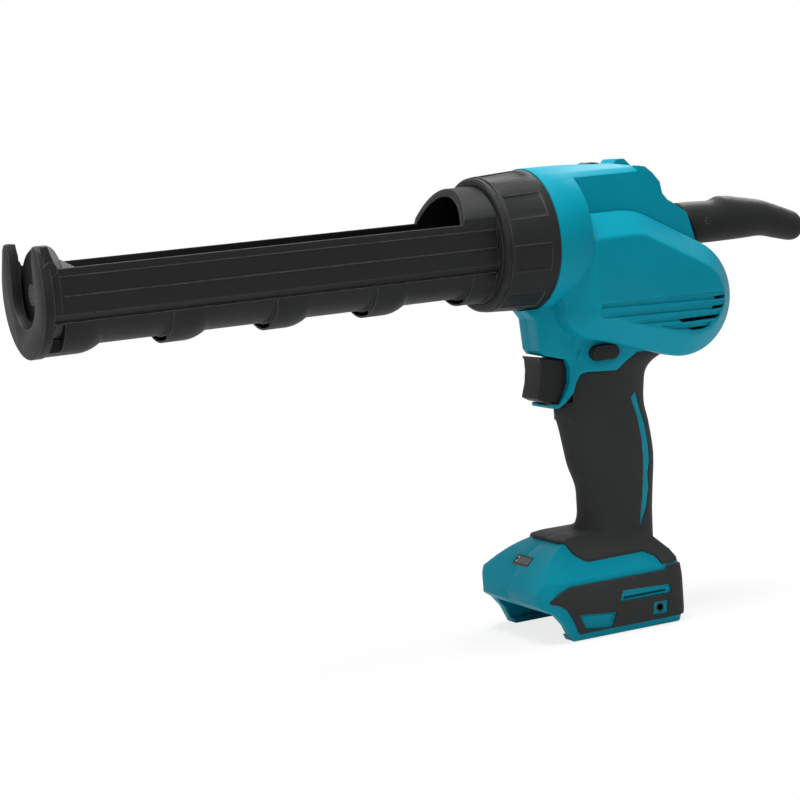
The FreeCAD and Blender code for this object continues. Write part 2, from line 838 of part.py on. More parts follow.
def nose_sleeve():
    """The threaded sleeve that the collar screws on, held behind the housing's front wall."""
    body = new_body("nose_sleeve", Vector(sleeve_front, 0, 0))
    outer = "collar_bore_radius - slide_gap"
    bore = f"{outer} - sleeve_wall"
    flange = "barrel_radius - housing_wall - seat_gap"
    back = "collar_length + slide_gap + front_wall + seat_gap"
    start = "collar_lip + flange_thickness + 2 * slide_gap"
    step = f"{back} - ({start})"
    end = f"{step} + sleeve_flange_thickness"
    points = [("0", bore), ("0", outer), (step, outer), (step, flange), (end, flange), (end, bore)]
    turned(body, points)


def rod_bushes():
    """Front and rear guides of the push rod, each with a rectangular hole."""
    slot = ("rod_width + 2 * slide_gap", "rod_height + 2 * slide_gap")
    front = f"{sleeve_back} + seat_gap"
    radius = "barrel_radius - housing_wall - seat_gap"
    disc = cylinder("front_bush_disc", "X", (front, "0", "0"), radius, "front_bush_thickness")
    corner = (f"{front} - overrun", f"-({slot[0]}) / 2", f"-({slot[1]}) / 2")
    hole = block("front_bush_hole", corner, ("front_bush_thickness + 2 * overrun", *slot))
    keep(cut("rod_bush_front", disc, hole))
    start = rear_bush_front()
    wide = "rod_width + 2 * slide_gap + 2 * rear_bush_wall"
    tall = "rod_height + 2 * slide_gap + 2 * rear_bush_wall"
    corner = (f"{start}", f"-({wide}) / 2", f"-({tall}) / 2")
    bush = block("rear_bush_block", corner, ("rear_bush_length", wide, tall))
    corner = (f"{start} - overrun", f"-({slot[0]}) / 2", f"-({slot[1]}) / 2")
    hole = block("rear_bush_hole", corner, ("rear_bush_length + 2 * overrun", *slot))
    keep(cut("rod_bush_rear", bush, hole))


def rear_bush_front():
    top = (size.rod_height / 2 + size.slide_gap + size.rear_bush_wall)
    return tower_rear_at(top) - size.housing_wall - size.seat_gap - size.rear_bush_length


# The push rod and what it carries


def rack_rod():
    body = new_body("rack_rod", Vector(rod_front, 0, 0))
    half = ("rod_width / 2", "rod_height / 2")
    corners = [(f"-{half[0]}", f"-{half[1]}"), (half[0], f"-{half[1]}"), half, (f"-{half[0]}", half[1])]
    pad(body, polygon(body, "YZ_Plane", corners), f"{rod_length}")
    pitch = math.pi * size.rack_module
    gaps_behind = math.ceil(rack_radius / pitch)
    gaps_ahead = math.ceil((size.rod_travel + rack_radius) / pitch)
    first = rack_shaft.x - gaps_ahead * pitch - rod_front
    tip = "rod_height / 2"
    root = f"{tip} - rack_module * (addendum_share + dedendum_share)"
    middle = f"{math.pi} * rack_module * (1 - tooth_width_share) / 2"
    wide = f"({middle} + rack_module * addendum_share * flank_share)"
    narrow = f"({middle} - rack_module * dedendum_share * flank_share)"
    gap = [(f"{first} - {wide}", f"-({tip})"), (f"{first} + {wide}", f"-({tip})")]
    gap += [(f"{first} + {narrow}", f"-({root})"), (f"{first} - {narrow}", f"-({root})")]
    doc.recompute()
    before = body.Shape.Volume
    pocket = through_pocket(body, polygon(body, "XZ_Plane", gap))
    doc.recompute()
    row = body.newObject("PartDesign::LinearPattern", "rack_gaps")
    row.Originals = [pocket]
    row.Direction = (origin_item(body, "X_Axis"), [""])
    row.Occurrences = gaps_ahead + gaps_behind + 1
    row.Length = (gaps_ahead + gaps_behind) * pitch
    body.Tip = row
    doc.recompute()
    through_hole(body, "YZ_Plane", "piston_screw_radius + seat_gap", "piston_screw_length")
    doc.recompute()
    if body.Shape.Volume >= before:
        raise RuntimeError("the rack's gaps cut nothing")


def through_hole(body, role, radius, depth):
    """A round hole along the body's own axis, from its origin."""
    hole = body.newObject("PartDesign::Pocket", f"{body.Name}_hole")
    hole.Profile = circle(body, role, radius)
    hole.Reversed = True
    bind(hole, Length=depth)
    return hole


def piston_pieces():
    """The piston with its sealing ring, its washer and the screw that holds them on the end of the rod."""
    body = new_body("piston", Vector(piston_front, 0, 0))
    hole = "piston_screw_radius + seat_gap"
    groove_end = "piston_groove_place + piston_groove_width"
    floor = "piston_radius - piston_groove_depth"
    end = "piston_thickness + piston_cone_length"
    points = [("0", hole), ("0", "piston_radius - piston_bevel"), ("piston_bevel", "piston_radius")]
    points += [("piston_groove_place", "piston_radius"), ("piston_groove_place", floor), (groove_end, floor)]
    points += [(groove_end, "piston_radius"), ("piston_thickness", "piston_radius")]
    points += [("piston_thickness", "piston_cone_radius"), (end, "piston_neck_radius")]
    points += [(end, "piston_socket_radius"), ("piston_thickness", "piston_socket_radius")]
    points.append(("piston_thickness", hole))
    turned(body, points)
    ring = new_body("piston_ring", Vector(piston_front, 0, 0))
    proud = "piston_radius + piston_ring_proud"
    front = "piston_groove_place + seat_gap"
    back = f"{groove_end} - seat_gap"
    seat = f"{floor} + seat_gap"
    turned(ring, [(front, seat), (front, proud), (back, proud), (back, seat)])
    start = piston_front + size.piston_thickness
    keep(tube("piston_washer", "X", (f"{start}", "0", "0"), "washer_radius", hole, "washer_thickness"))
    head = (f"{piston_front} - piston_screw_head_height", "0", "0")
    cap = cylinder("piston_screw_head", "X", head, "piston_screw_head_radius", "piston_screw_head_height")
    length = "piston_thickness + washer_thickness + piston_screw_length - overrun"
    shank = cylinder("piston_screw_shank", "X", (f"{piston_front}", "0", "0"), "piston_screw_radius", length)
    keep(join("piston_screw", [cap, shank]))


def rod_handle():
    """The pull handle: a round socket with a slanted face that bends down to a rounded end."""
    radius = size.handle_radius
    start = handle_front - size.handle_slant
    sections = []
    count = int(size.handle_sections)
    for number in range(count + 1):
        along = number / count
        drop, tall, wide = blended(handle_section_shares, along)
        x = start + along * (size.handle_reach + size.handle_slant)
        sections.append(upright_oval(Vector(x, 0, -drop * size.handle_bend), tall * radius, wide * radius))
    grip = Part.makeLoft(sections, True, False)
    low = handle_front + size.handle_slant / 2
    high = handle_front - size.handle_slant / 2
    reach = radius + size.overrun
    slope = (low - high) / (2 * radius)
    face = [(start - size.overrun, -reach), (handle_front + slope * reach, -reach)]
    face += [(handle_front - slope * reach, reach), (start - size.overrun, reach)]
    wedge = spread(outline(side, face), reach)
    grip = grip.cut(wedge).common(chamfer_cone())
    half = Vector(0, size.rod_width / 2 + size.seat_gap, size.rod_height / 2 + size.seat_gap)
    socket_end = handle_front + size.rod_socket_length + size.seat_gap
    socket = box_between(Vector(start - size.overrun, -half.y, -half.z), Vector(socket_end, half.y, half.z))
    pin = handle_pin_shape(size.handle_pin_radius + size.seat_gap, reach)
    feature("rod_handle", grip.cut([socket, pin]))


def upright_oval(centre, tall, wide):
    """A closed curve across the rod's axis."""
    points = []
    count = int(size.oval_points)
    for number in range(count):
        angle = 2 * math.pi * number / count
        points.append(centre + Vector(0, wide * math.cos(angle), tall * math.sin(angle)))
    curve = Part.BSplineCurve()
    curve.interpolate(points, True)
    return Part.Wire([curve.toShape()])


def chamfer_cone():
    """A cone whose side chamfers the rim of the handle's slanted front face."""
    lean = math.atan2(size.handle_slant, 2 * size.handle_radius)
    axis = Vector(math.cos(lean), 0, math.sin(lean))
    small = size.handle_radius - size.handle_chamfer
    length = size.handle_reach + size.handle_slant
    return Part.makeCone(small, small + length, length, Vector(handle_front, 0, 0), axis)


def handle_pin_shape(radius, reach):
    x = handle_front + size.handle_slant / 2 + size.handle_pin_place
    return round_bar(Vector(x, -reach, 0), Vector(0, 2 * reach, 0), radius)


def handle_screw():
    """The cross screws that hold the handle on the rod, one from each side."""
    x = f"{handle_front} + handle_slant / 2 + handle_pin_place"
    depth = "handle_radius - rod_width / 2 - 2 * seat_gap - handle_pin_sink"
    radius = "handle_pin_radius"
    inner = "rod_width / 2 + seat_gap"
    left = cylinder("handle_screw_left", "Y", (x, f"-({inner}) - ({depth})", "0"), radius, depth)
    right = cylinder("handle_screw_right", "Y", (x, inner, "0"), radius, depth)
    item = doc.addObject("Part::Compound", "handle_screws")
    item.Links = [left, right]
    keep(item)


# The gear train


def tooth(module):
    """One straight-sided tooth standing up from the root, pointing along X."""
    middle = f"{math.pi} * {module} * tooth_width_share / 2"
    return middle, f"{module} * addendum_share", f"{module} * dedendum_share"


def toothed(body, teeth, module, width, lift="0"):
    """A toothed wheel on the body's own Z axis."""
    middle, rise, fall = tooth(module)
    pitch = f"{teeth} * {module} / 2"
    root = f"{pitch} - {fall}"
    pad(body, circle(body, "XY_Plane", root, lift), width)
    inner = f"{root} - {module} / 2"
    wide = f"({middle} + ({fall} + {module} / 2) * flank_share)"
    narrow = f"({middle} - {rise} * flank_share)"
    tip = f"{pitch} + {rise}"
    corners = [(inner, f"-{wide}"), (tip, f"-{narrow}"), (tip, narrow), (inner, wide)]
    one = pad(body, polygon(body, "XY_Plane", corners, lift), width)
    doc.recompute()
    return polar(body, one, "Z_Axis", teeth)


def mesh_phase(centre, radius, phase, other, other_radius, teeth):
    """The turn that sets a wheel's gap against a tooth of the wheel it meshes with."""
    line = math.atan2(other.z - centre.z, other.x - centre.x)
    return line + math.pi - (phase - line) * radius / other_radius - math.pi / teeth


def gear_body(label, centre, far_side, phase):
    """A body whose Z axis points to -Y, so that the wheel ends at its far side."""
    turn = Rotation(Vector(1, 0, 0), 90).multiply(Rotation(Vector(0, 0, 1), math.degrees(phase)))
    return new_body(label, Vector(centre.x, far_side, centre.z), turn)


def bore(body, radius):
    through_pocket(body, circle(body, "XY_Plane", radius))


def shaft_along(body, radius, lift, length):
    pad(body, circle(body, "XY_Plane", radius, lift), length)


def gear_train():
    """Motor pinion, two reductions, the final gear and the rack pinion, all on axes along Y."""
    pinion_radius = gear_radius(size.motor_pinion_teeth, size.first_module)
    gear_one = gear_radius(size.first_gear_teeth, size.first_module)
    pinion_one = gear_radius(size.first_pinion_teeth, size.second_module)
    gear_two = gear_radius(size.second_gear_teeth, size.second_module)
    pinion_two = gear_radius(size.second_pinion_teeth, size.third_module)
    gear_three = gear_radius(size.final_gear_teeth, size.third_module)
    first_phase = mesh_phase(motor_axis, pinion_radius, 0, first_shaft, gear_one, size.first_gear_teeth)
    second_phase = mesh_phase(first_shaft, pinion_one, 0, second_shaft, gear_two, size.second_gear_teeth)
    final_phase = mesh_phase(second_shaft, pinion_two, 0, rack_shaft, gear_three, size.final_gear_teeth)
    body = gear_body("motor_pinion", motor_axis, first_side + size.first_gear_width, 0)
    toothed(body, "motor_pinion_teeth", "first_module", "first_gear_width")
    bore(body, "motor_shaft_radius + seat_gap / 3")
    body = gear_body("first_gear", first_shaft, first_side + size.first_gear_width, first_phase)
    toothed(body, "first_gear_teeth", "first_module", "first_gear_width")
    bore(body, "gear_shaft_radius + seat_gap / 3")
    body = gear_body("second_gear", second_shaft, second_side + size.second_gear_width, second_phase)
    toothed(body, "second_gear_teeth", "second_module", "second_gear_width")
    bore(body, "gear_shaft_radius + seat_gap / 3")
    body = gear_body("final_gear", rack_shaft, final_side + size.final_gear_width, final_phase)
    toothed(body, "final_gear_teeth", "third_module", "final_gear_width")
    bore(body, "rack_shaft_radius + run_gap")
    teeth = ("first_pinion_teeth", "second_module", "second_gear_width")
    pinion_shaft("first_pinion_shaft", first_shaft, second_side, *teeth)
    teeth = ("second_pinion_teeth", "third_module", "final_gear_width")
    pinion_shaft("second_pinion_shaft", second_shaft, final_side, *teeth)
    rack_pinion()


def pinion_shaft(label, centre, low_side, teeth, module, width):
    """A pinion cut on its shaft, which runs from the left gear plate to the right one."""
    far = right_plate_end
    body = gear_body(label, centre, far, 0)
    lift = f"{far - low_side} - {width}"
    toothed(body, teeth, module, width, lift)
    shaft_along(body, "gear_shaft_radius", "0", f"{far - left_plate_end}")


def rack_pinion():
    """The pinion that drives the rod, its shaft, and the clutch dog beside the final gear."""
    far = right_plate_end
    body = gear_body("rack_pinion_shaft", rack_shaft, far, math.pi / 2)
    toothed(body, "rack_pinion_teeth", "rack_module", "rack_pinion_width", f"{far - dog_side}")
    shaft_along(body, "rack_shaft_radius", "0", f"{far - left_plate_end}")
    dog = gear_body("clutch_dog", rack_shaft, dog_side + size.clutch_dog_thickness, 0)
    pad(dog, circle(dog, "XY_Plane", "clutch_dog_radius"), "clutch_dog_thickness")
    bore(dog, "rack_shaft_radius + seat_gap / 3")


def gear_plate_face():
    """The outline that both gear plates share."""
    margin = size.gear_plate_margin
    top = -size.rod_height / 2 - size.slide_gap * 4
    low = first_shaft.z - margin
    corners = [(rack_shaft.x - margin, top), (second_shaft.x + margin * 2, top)]
    corners += [(motor_axis.x + margin, motor_axis.z + margin), (motor_axis.x + margin, motor_axis.z - margin)]
    corners += [(motor_axis.x, low), (first_shaft.x - margin * 1.5, low)]
    corners.append((rack_shaft.x - margin, rack_shaft.z - margin * 2))
    return outline(side, corners)


def plate_posts():
    """Where the housing's posts meet the gear plates."""
    margin = size.gear_plate_margin
    inset = size.gear_plate_post_radius + size.gear_gap
    top = -size.rod_height / 2 - size.slide_gap * 4
    yield Vector(rack_shaft.x - margin + inset, 0, rack_shaft.z - margin)
    yield Vector(first_shaft.x - margin, 0, first_shaft.z - margin + inset)
    yield Vector(second_shaft.x + margin * 1.5, 0, top - inset)


shaft_holes = [
    (rack_shaft, "rack_shaft_radius"), (second_shaft, "gear_shaft_radius"), (first_shaft, "gear_shaft_radius"),
]


def bush_radius(alias):
    return getattr(size, alias) + size.run_gap + size.bush_wall


def gear_plates():
    """The two plates that carry the gear shafts in bushes. The left one also holds the motor."""
    thick = Vector(0, size.gear_plate_thickness, 0)
    bushes = []
    for label, low in (("gear_plate_left", left_plate_end), ("gear_plate_right", right_plate_side)):
        plate = slab(gear_plate_face(), Vector(0, low, 0), thick)
        for centre, alias in shaft_holes:
            start = Vector(centre.x, low, centre.z)
            plate = plate.cut(round_bar(start, thick, bush_radius(alias) + size.seat_gap))
            ring = round_bar(start, thick, bush_radius(alias))
            bushes.append(ring.cut(round_bar(start, thick, getattr(size, alias) + size.run_gap)))
        start = Vector(motor_axis.x, low, motor_axis.z)
        if low < 0:
            plate = plate.cut(round_bar(start, thick, size.motor_radius + size.seat_gap))
        else:
            plate = plate.cut(round_bar(start, thick, size.motor_shaft_radius + size.slide_gap))
        feature(label, plate)
    feature("gear_bushes", Part.makeCompound(bushes))


# The motor


def motor_bar(low, high, radius):
    return round_bar(Vector(motor_axis.x, low, motor_axis.z), Vector(0, high - low, 0), radius)


def motor():
    inner = size.motor_radius - size.motor_wall
    hole = size.motor_bearing_radius + size.seat_gap
    can = motor_bar(motor_back, motor_front, size.motor_radius)
    can = can.cut(motor_bar(motor_back - size.overrun, motor_front - size.motor_wall, inner))
    feature("motor_can", can.cut(motor_bar(motor_back, motor_front + size.overrun, hole)))
    cap = motor_bar(cap_back, motor_back, size.motor_radius)
    feature("motor_end_cap", cap.cut(motor_bar(cap_back - size.overrun, motor_back + size.overrun, hole)))
    bearings = []
    for low in (cap_back, motor_front - size.motor_wall):
        ring = motor_bar(low, low + size.motor_bearing_length, size.motor_bearing_radius)
        hole = motor_bar(low, low + size.motor_bearing_length, size.motor_shaft_radius + size.run_gap)
        bearings.append(ring.cut(hole))
    feature("motor_bearings", Part.makeCompound(bearings))
    windings()
    rotor()


def armature_span():
    middle = (motor_front + motor_back) / 2 + size.brush_width / 2
    return middle - size.armature_length / 2, middle + size.armature_length / 2


def windings():
    """The magnets inside the can and the brushes on the end cap."""
    low, high = armature_span()
    outer = size.motor_radius - size.motor_wall - size.seat_gap
    magnets = []
    for turn in (0, 180):
        start = Vector(motor_axis.x, low, motor_axis.z)
        ring = Part.makeCylinder(outer, high - low, start, Vector(0, 1, 0), size.magnet_angle)
        ring = ring.cut(motor_bar(low, high, outer - size.magnet_thickness))
        ring.rotate(start, Vector(0, 1, 0), turn)
        magnets.append(ring)
    feature("motor_magnets", Part.makeCompound(magnets))
    brushes = []
    half = size.brush_width / 2
    base = motor_back + size.seat_gap
    gap = size.commutator_radius + size.slide_gap
    for sign in (-1, 1):
        ends = sorted((motor_axis.z + sign * gap, motor_axis.z + sign * (gap + size.brush_length)))
        low_corner = Vector(motor_axis.x - half, base, ends[0])
        brushes.append(box_between(low_corner, Vector(motor_axis.x + half, base + size.brush_width, ends[1])))
    feature("motor_brushes", Part.makeCompound(brushes))


def rotor():
    """Shaft, armature, commutator and cooling fan, which turn together."""
    shaft = size.motor_shaft_radius
    feature("motor_shaft", motor_bar(fan_back, right_plate_end, shaft))
    press = shaft + size.seat_gap / 3
    low, high = armature_span()
    core = motor_bar(low, high, size.armature_radius).cut(motor_bar(low, high, press))
    feature("armature", core)
    base = motor_back + size.seat_gap * 2
    ring = motor_bar(base, base + size.commutator_length, size.commutator_radius)
    feature("commutator", ring.cut(motor_bar(base, base + size.commutator_length, press)))
    top = fan_back + size.fan_thickness
    fan = [motor_bar(fan_back, top, size.fan_hub_radius)]
    fan.append(motor_bar(top - size.fan_blade, top, size.fan_radius))
    for number in range(int(size.fan_blades)):
        half = size.fan_blade / 2
        low_corner = Vector(motor_axis.x + size.fan_hub_radius / 2, fan_back, motor_axis.z - half)
        high_corner = Vector(motor_axis.x + size.fan_radius - half, top, motor_axis.z + half)
        blade = box_between(low_corner, high_corner)
        blade.rotate(motor_axis, Vector(0, 1, 0), number * 360 / size.fan_blades)
        fan.append(blade)
    feature("cooling_fan", union(fan).cut(motor_bar(fan_back, top, press)))


# The housing


def tower_shape(inset):
    """The upright part round the rod, rounded on top like the barrel, with flat sides."""
    low = -size.neck_top
    corners = tower_points() + [(size.tower_rear, low), (size.tower_front, low)]
    face = outline(side, corners)
    if inset:
        face = Part.Face(face.makeOffset2D(-inset).Wires[0])
    half = size.tower_half_width - inset
    front = Vector(size.tower_front - size.overrun, 0, 0)
    length = Vector(size.tower_rear - size.tower_front + 2 * size.overrun, 0, 0)
    room = round_bar(front, length, size.barrel_radius - inset)
    start = size.tower_block_place + inset
    block_low = Vector(start, -half, 0)
    block = box_between(block_low, Vector(size.tower_rear + size.overrun, half, size.tower_top + size.overrun))
    return spread(face, half).common(room.fuse(block))


def bulge_face(inset):
    """The side outline of the motor bulge: its rear is an arc about the motor's axis."""
    radius = size.bulge_rear_radius
    top = size.bulge_top
    shoulder = Vector(size.bulge_shoulder, 0, top)
    floor = Vector(size.bulge_floor_place, 0, -size.bulge_floor)
    upper = tangent_point(shoulder, radius, 1)
    lower = tangent_point(floor, radius, -1)
    bend = size.bulge_round + size.housing_wall
    join_bend = size.bulge_join_round
    corners = [(size.bulge_front, top), (shoulder.x, shoulder.z), upper, lower, (floor.x, floor.z)]
    corners.append((size.bulge_front, -size.bulge_chin))
    path = rounded(corners, [bend, bend * 2, join_bend, join_bend, bend * 2, bend])
    kept = path[:4] + [upper, ((motor_axis.x + radius, motor_axis.z), lower)] + path[8:]
    face = outline(side, kept)
    return Part.Face(face.makeOffset2D(-inset).Wires[0]) if inset else face


def tangent_point(point, radius, sign):
    """Where a line from a point touches the arc about the motor's axis."""
    away = Vector(point.x - motor_axis.x, 0, point.z - motor_axis.z)
    turn = math.atan2(away.z, away.x) - sign * math.acos(radius / away.Length)
    return motor_axis.x + radius * math.cos(turn), motor_axis.z + radius * math.sin(turn)


def edges_beside(solid, place):
    """The edges that run at a distance from the middle plane, on both sides."""
    return [edge for edge in solid.Edges if abs(abs(edge.CenterOfMass.y) - place) < size.seat_gap / 10]


def bulge_shape(inset):
    """The motor bulge, with a slanting facet round each of its flat sides."""
    half = size.bulge_half_width - inset
    facet = size.bulge_facet - inset * (2 - math.sqrt(2))
    solid = spread(bulge_face(inset), half)
    solid = solid.makeChamfer(facet, edges_beside(solid, half))
    edges = edges_beside(solid, half) + edges_beside(solid, half - facet)
    return solid.makeFillet(size.bulge_edge_round - inset, edges)


def neck_points(shares):
    length = size.neck_rear - size.chin_front
    return placed(shares, size.chin_front, length, -size.neck_top, size.neck_drop)


def neck_plan():
    """Half widths of the neck: narrow at the chin and the trigger, then widening to straight sides."""
    length = size.neck_rear - size.chin_front
    half = size.neck_half_width
    flank = [Vector(size.chin_front + along * length, wide * half, 0) for along, wide in neck_plan_shares]
    other = [Vector(point.x, -point.y, 0) for point in reversed(flank)]
    end = size.neck_rear + size.overrun
    corners = [flank[-1], Vector(end, flank[-1].y, 0), Vector(end, other[0].y, 0), other[0]]
    edges = []
    for points in (flank, other):
        curve = Part.BSplineCurve()
        curve.interpolate(points)
        edges.append(curve.toShape())
    for first, last in zip(corners, corners[1:]):
        edges.append(Part.LineSegment(first, last).toShape())
    edges.append(Part.LineSegment(other[-1], flank[0]).toShape())
    return Part.Face(Part.Wire(Part.__sortEdges__(edges)))


def neck_shape():
    height = 2 * size.neck_drop
    column = slab(neck_plan(), Vector(0, 0, -size.neck_top - height), Vector(0, 0, height))
    return spread(outline(side, neck_points(neck_outline_shares)), size.neck_half_width).common(column)


def soft_region(inset):
    """The side outline within which the handle is covered by the soft sleeve."""
    face = outline(side, neck_points(soft_outline_shares))
    if inset:
        face = Part.Face(face.makeOffset2D(-inset).Wires[0])
    return spread(face, size.foot_half_width + size.overrun)


def stripe_region(grow):
    """The narrow opening in each side of the sleeve that shows the housing."""
    points = []
    for along, down in stripe_outline_shares:
        points.append((size.grip_front + along * size.grip_depth, -size.grip_top - down * size.grip_length))
    face = outline(side, points)
    if grow:
        face = Part.Face(face.makeOffset2D(grow).Wires[0])
    room = spread(face, size.foot_half_width)
    middle = spread(face, size.grip_half_width / 3)
    return room.cut(middle)


def oval(centre, depth, width):
    """A level ellipse, with its longer axis along the tool."""
    ring = Part.Ellipse(Vector(), depth, width).toShape()
    ring.Placement = Placement(centre, Rotation())
    return Part.Wire([ring])


def blended(rows, place):
    """A row between the given rows, with no bump or dip that they don't have themselves."""
    starts = [row[0] for row in rows]
    number = max(index for index, start in enumerate(starts[:-1]) if start <= place)
    width = starts[number + 1] - starts[number]
    along = (place - starts[number]) / width
    found = []
    for column in range(1, len(rows[0])):
        values = [row[column] for row in rows]
        rates = [(values[k + 1] - values[k]) / (starts[k + 1] - starts[k]) for k in range(len(rows) - 1)]
        leave = smooth_rate(rates, number)
        reach = smooth_rate(rates, number + 1)
        rest = 1 - along
        near = values[number] * (1 + 2 * along) + leave * width * along
        far = values[number + 1] * (1 + 2 * rest) - reach * width * rest
        found.append(near * rest ** 2 + far * along ** 2)
    return found


def smooth_rate(rates, number):
    """The rate of change at a row: level at a turning point, or else between its neighbours'."""
    if number == 0 or number == len(rates):
        return rates[min(number, len(rates) - 1)]
    before, after = rates[number - 1], rates[number]
    return 2 * before * after / (before + after) if before * after > 0 else 0


made_grips = {}


def grip_shape(inset):
    """The handle: rounded sections lofted down the grip, with the lip under the trigger."""
    if inset not in made_grips:
        sections = []
        count = int(size.grip_sections)
        for number in range(count + 1):
            down = number / count * grip_section_shares[-1][0]
            front, rear, wide = blended(grip_section_shares, down)
            depth = (rear - front) * size.grip_depth / 2
            x = size.grip_front + front * size.grip_depth + depth
            centre = Vector(x, 0, -size.grip_top - down * size.grip_length)
            sections.append(oval(centre, depth - inset, wide * size.grip_half_width - inset))
        made_grips[inset] = Part.makeLoft(sections, True, False)
    return made_grips[inset]


def foot_points(shares):
    return placed(shares, size.foot_front, size.foot_length, -size.foot_top, size.foot_height)


def foot_side():
    """The foot's side outline, with a smooth nose."""
    points = foot_points(foot_outline_shares)
    count = int(size.nose_points)
    curve = Part.BSplineCurve()
    curve.interpolate([side(*point) for point in points[:count]])
    rest = points[count - 1:] + points[:1]
    edges = [curve.toShape()]
    for first, last in zip(rest, rest[1:]):
        edges.append(Part.LineSegment(side(*first), side(*last)).toShape())
    return Part.Face(Part.Wire(edges))


def foot_plan(grow):
    half = size.foot_half_width + grow
    rear = size.foot_front + size.foot_length + grow
    corners = [(size.foot_front, -half), (rear, -half), (rear, half), (size.foot_front, half)]
    return outline(plan, rounded(corners, [size.foot_corner + grow] * 4))


def foot_shape(grow, lift):
    """The battery foot, with a roof that falls away to both sides of the grip."""
    height = size.foot_height + size.foot_top
    hull = spread(foot_side(), size.foot_half_width + grow)
    hull = hull.common(slab(foot_plan(grow), Vector(0, 0, -height - size.overrun), Vector(0, 0, height)))
    half = size.foot_half_width
    slope = size.roof_drop / (half - size.roof_half_width)
    far = half + size.overrun
    fall = -size.foot_top - size.roof_drop - slope * size.overrun
    over = size.foot_height
    cuts = []
    for sign in (-1, 1):
        path = [(sign * size.roof_half_width, -size.foot_top), (sign * far, fall)]
        path += [(sign * far, over - size.foot_top), (sign * size.roof_half_width, over - size.foot_top)]
        start = Vector(size.foot_front - size.overrun, 0, 0)
        cuts.append(slab(outline(across, path), start, Vector(size.foot_length + 2 * size.overrun, 0, 0)))
    solid = hull.cut(cuts)
    solid.translate(Vector(0, 0, lift))
    return solid


def barrel_shape():
    start = Vector(housing_front, 0, 0)
    return round_bar(start, Vector(size.barrel_rear - housing_front, 0, 0), size.barrel_radius)


def ridge_shape():
    """The low ridge on top of the tower."""
    low = size.tower_top * 0.8
    top = size.tower_top
    end = size.ridge_place + size.ridge_length
    slope = size.ridge_height
    corners = [(size.ridge_place, low), (size.ridge_place, top - slope), (size.ridge_place + slope, top)]
    corners += [(end - slope * 1.5, top), (end, top - slope * 1.5), (end, low)]
    return spread(outline(side, corners), size.ridge_half_width)


screw_shares = [(0.08, 0.6), (0.64, 0.55)]


def screw_places():
    """Where the housing screws go, on the middle plane."""
    length = size.tower_rear - size.tower_front
    for along, up in screw_shares:
        yield Vector(size.tower_front + along * length, 0, up * size.tower_top), True
    rear = motor_axis.x + (size.motor_radius + size.bulge_rear_radius - size.housing_wall) / 2
    yield Vector(rear, 0, motor_axis.z), True
    boss = size.screw_boss_radius
    yield Vector(size.chin_front + boss * 4.5, 0, -size.neck_top - boss * 3), False
    yield Vector(size.switch_place + size.switch_length + boss, 0, -size.lock_drop), False
    roof = -size.foot_top - size.foot_void_margin
    yield Vector(size.foot_front + boss * 2, 0, roof - boss), False
    yield Vector(size.foot_front + size.foot_length - boss * 1.6, 0, roof - size.foot_void_margin), False


def screw_shape(place, gap):
    """A screw from the right side, or the hole for it with a gap."""
    seat = Vector(place.x, size.screw_seat, place.z)
    shank = round_bar(seat, Vector(0, -size.screw_length - gap, 0), size.screw_radius + gap)
    reach = size.screw_head_height if not gap else size.bulge_half_width
    head = round_bar(seat, Vector(0, reach, 0), size.screw_head_radius + gap)
    return shank.fuse(head)


def housing_screws():
    feature("housing_screws", Part.makeCompound([screw_shape(place, 0) for place, boss in screw_places()]))


def housing_bosses():
    """Posts and bosses inside the shells that the screws and gear plates sit on."""
    half = size.bulge_half_width - size.housing_wall / 2
    pieces = []
    for place, boss in screw_places():
        if boss:
            width = size.tower_half_width if place.z > 0 else size.bulge_half_width
            reach = width - size.housing_wall / 2
            pieces.append(round_bar(Vector(place.x, -reach, place.z), Vector(0, 2 * reach, 0), size.screw_boss_radius))
    for place in plate_posts():
        start = right_plate_end + size.seat_gap
        post = size.gear_plate_post_radius
        pieces.append(round_bar(Vector(place.x, start, place.z), Vector(0, half - start, 0), post))
        start = left_plate_end - size.seat_gap
        pieces.append(round_bar(Vector(place.x, start, place.z), Vector(0, -half - start, 0), post))
    return pieces


def dial_centre():
    share = (size.dial_place - size.tower_front) / (size.tower_rear - size.tower_front)
    (first_x, first_z), (last_x, last_z) = tower_outline_shares[:2]
    top = (first_z + (last_z - first_z) * share / (last_x - first_x)) * size.tower_top
    top = min(top, size.barrel_radius)
    return Vector(size.dial_place, 0, top + size.dial_proud - size.dial_radius)


def dial_ears():
    """The two ears inside the tower that the dial's axle turns in."""
    centre = dial_centre()
    half = size.dial_axle_radius * 2.5
    low = size.dial_half_width + size.slide_gap
    high = low + size.dial_axle_length
    pieces = []
    for sign in (-1, 1):
        ends = sorted((sign * low, sign * high))
        low_corner = Vector(centre.x - half, ends[0], centre.z - half)
        ear = box_between(low_corner, Vector(centre.x + half, ends[1], size.tower_top - size.housing_wall / 2))
        pieces.append(ear)
    return pieces


def housing_voids():
    """The hollows inside the shells, apart from the openings for the controls."""
    front = housing_front + size.front_wall
    length = Vector(size.tower_front + size.housing_wall - front, 0, 0)
    hollow = round_bar(Vector(front, 0, 0), length, barrel_bore)
    hollow = hollow.fuse([tower_shape(size.housing_wall), bulge_shape(size.housing_wall)])
    bush_rib = round_bar(Vector(bush_back + size.seat_gap, 0, 0), Vector(size.bush_rib, 0, 0), barrel_bore)
    rib_length = Vector(size.bush_rib + size.overrun, 0, 0)
    rib_hole = round_bar(Vector(bush_back, 0, 0), rib_length, barrel_bore - size.bush_rib_height)
    bush_rib = bush_rib.cut(rib_hole)
    return hollow.cut([bush_rib, rear_wall()] + housing_bosses() + dial_ears())


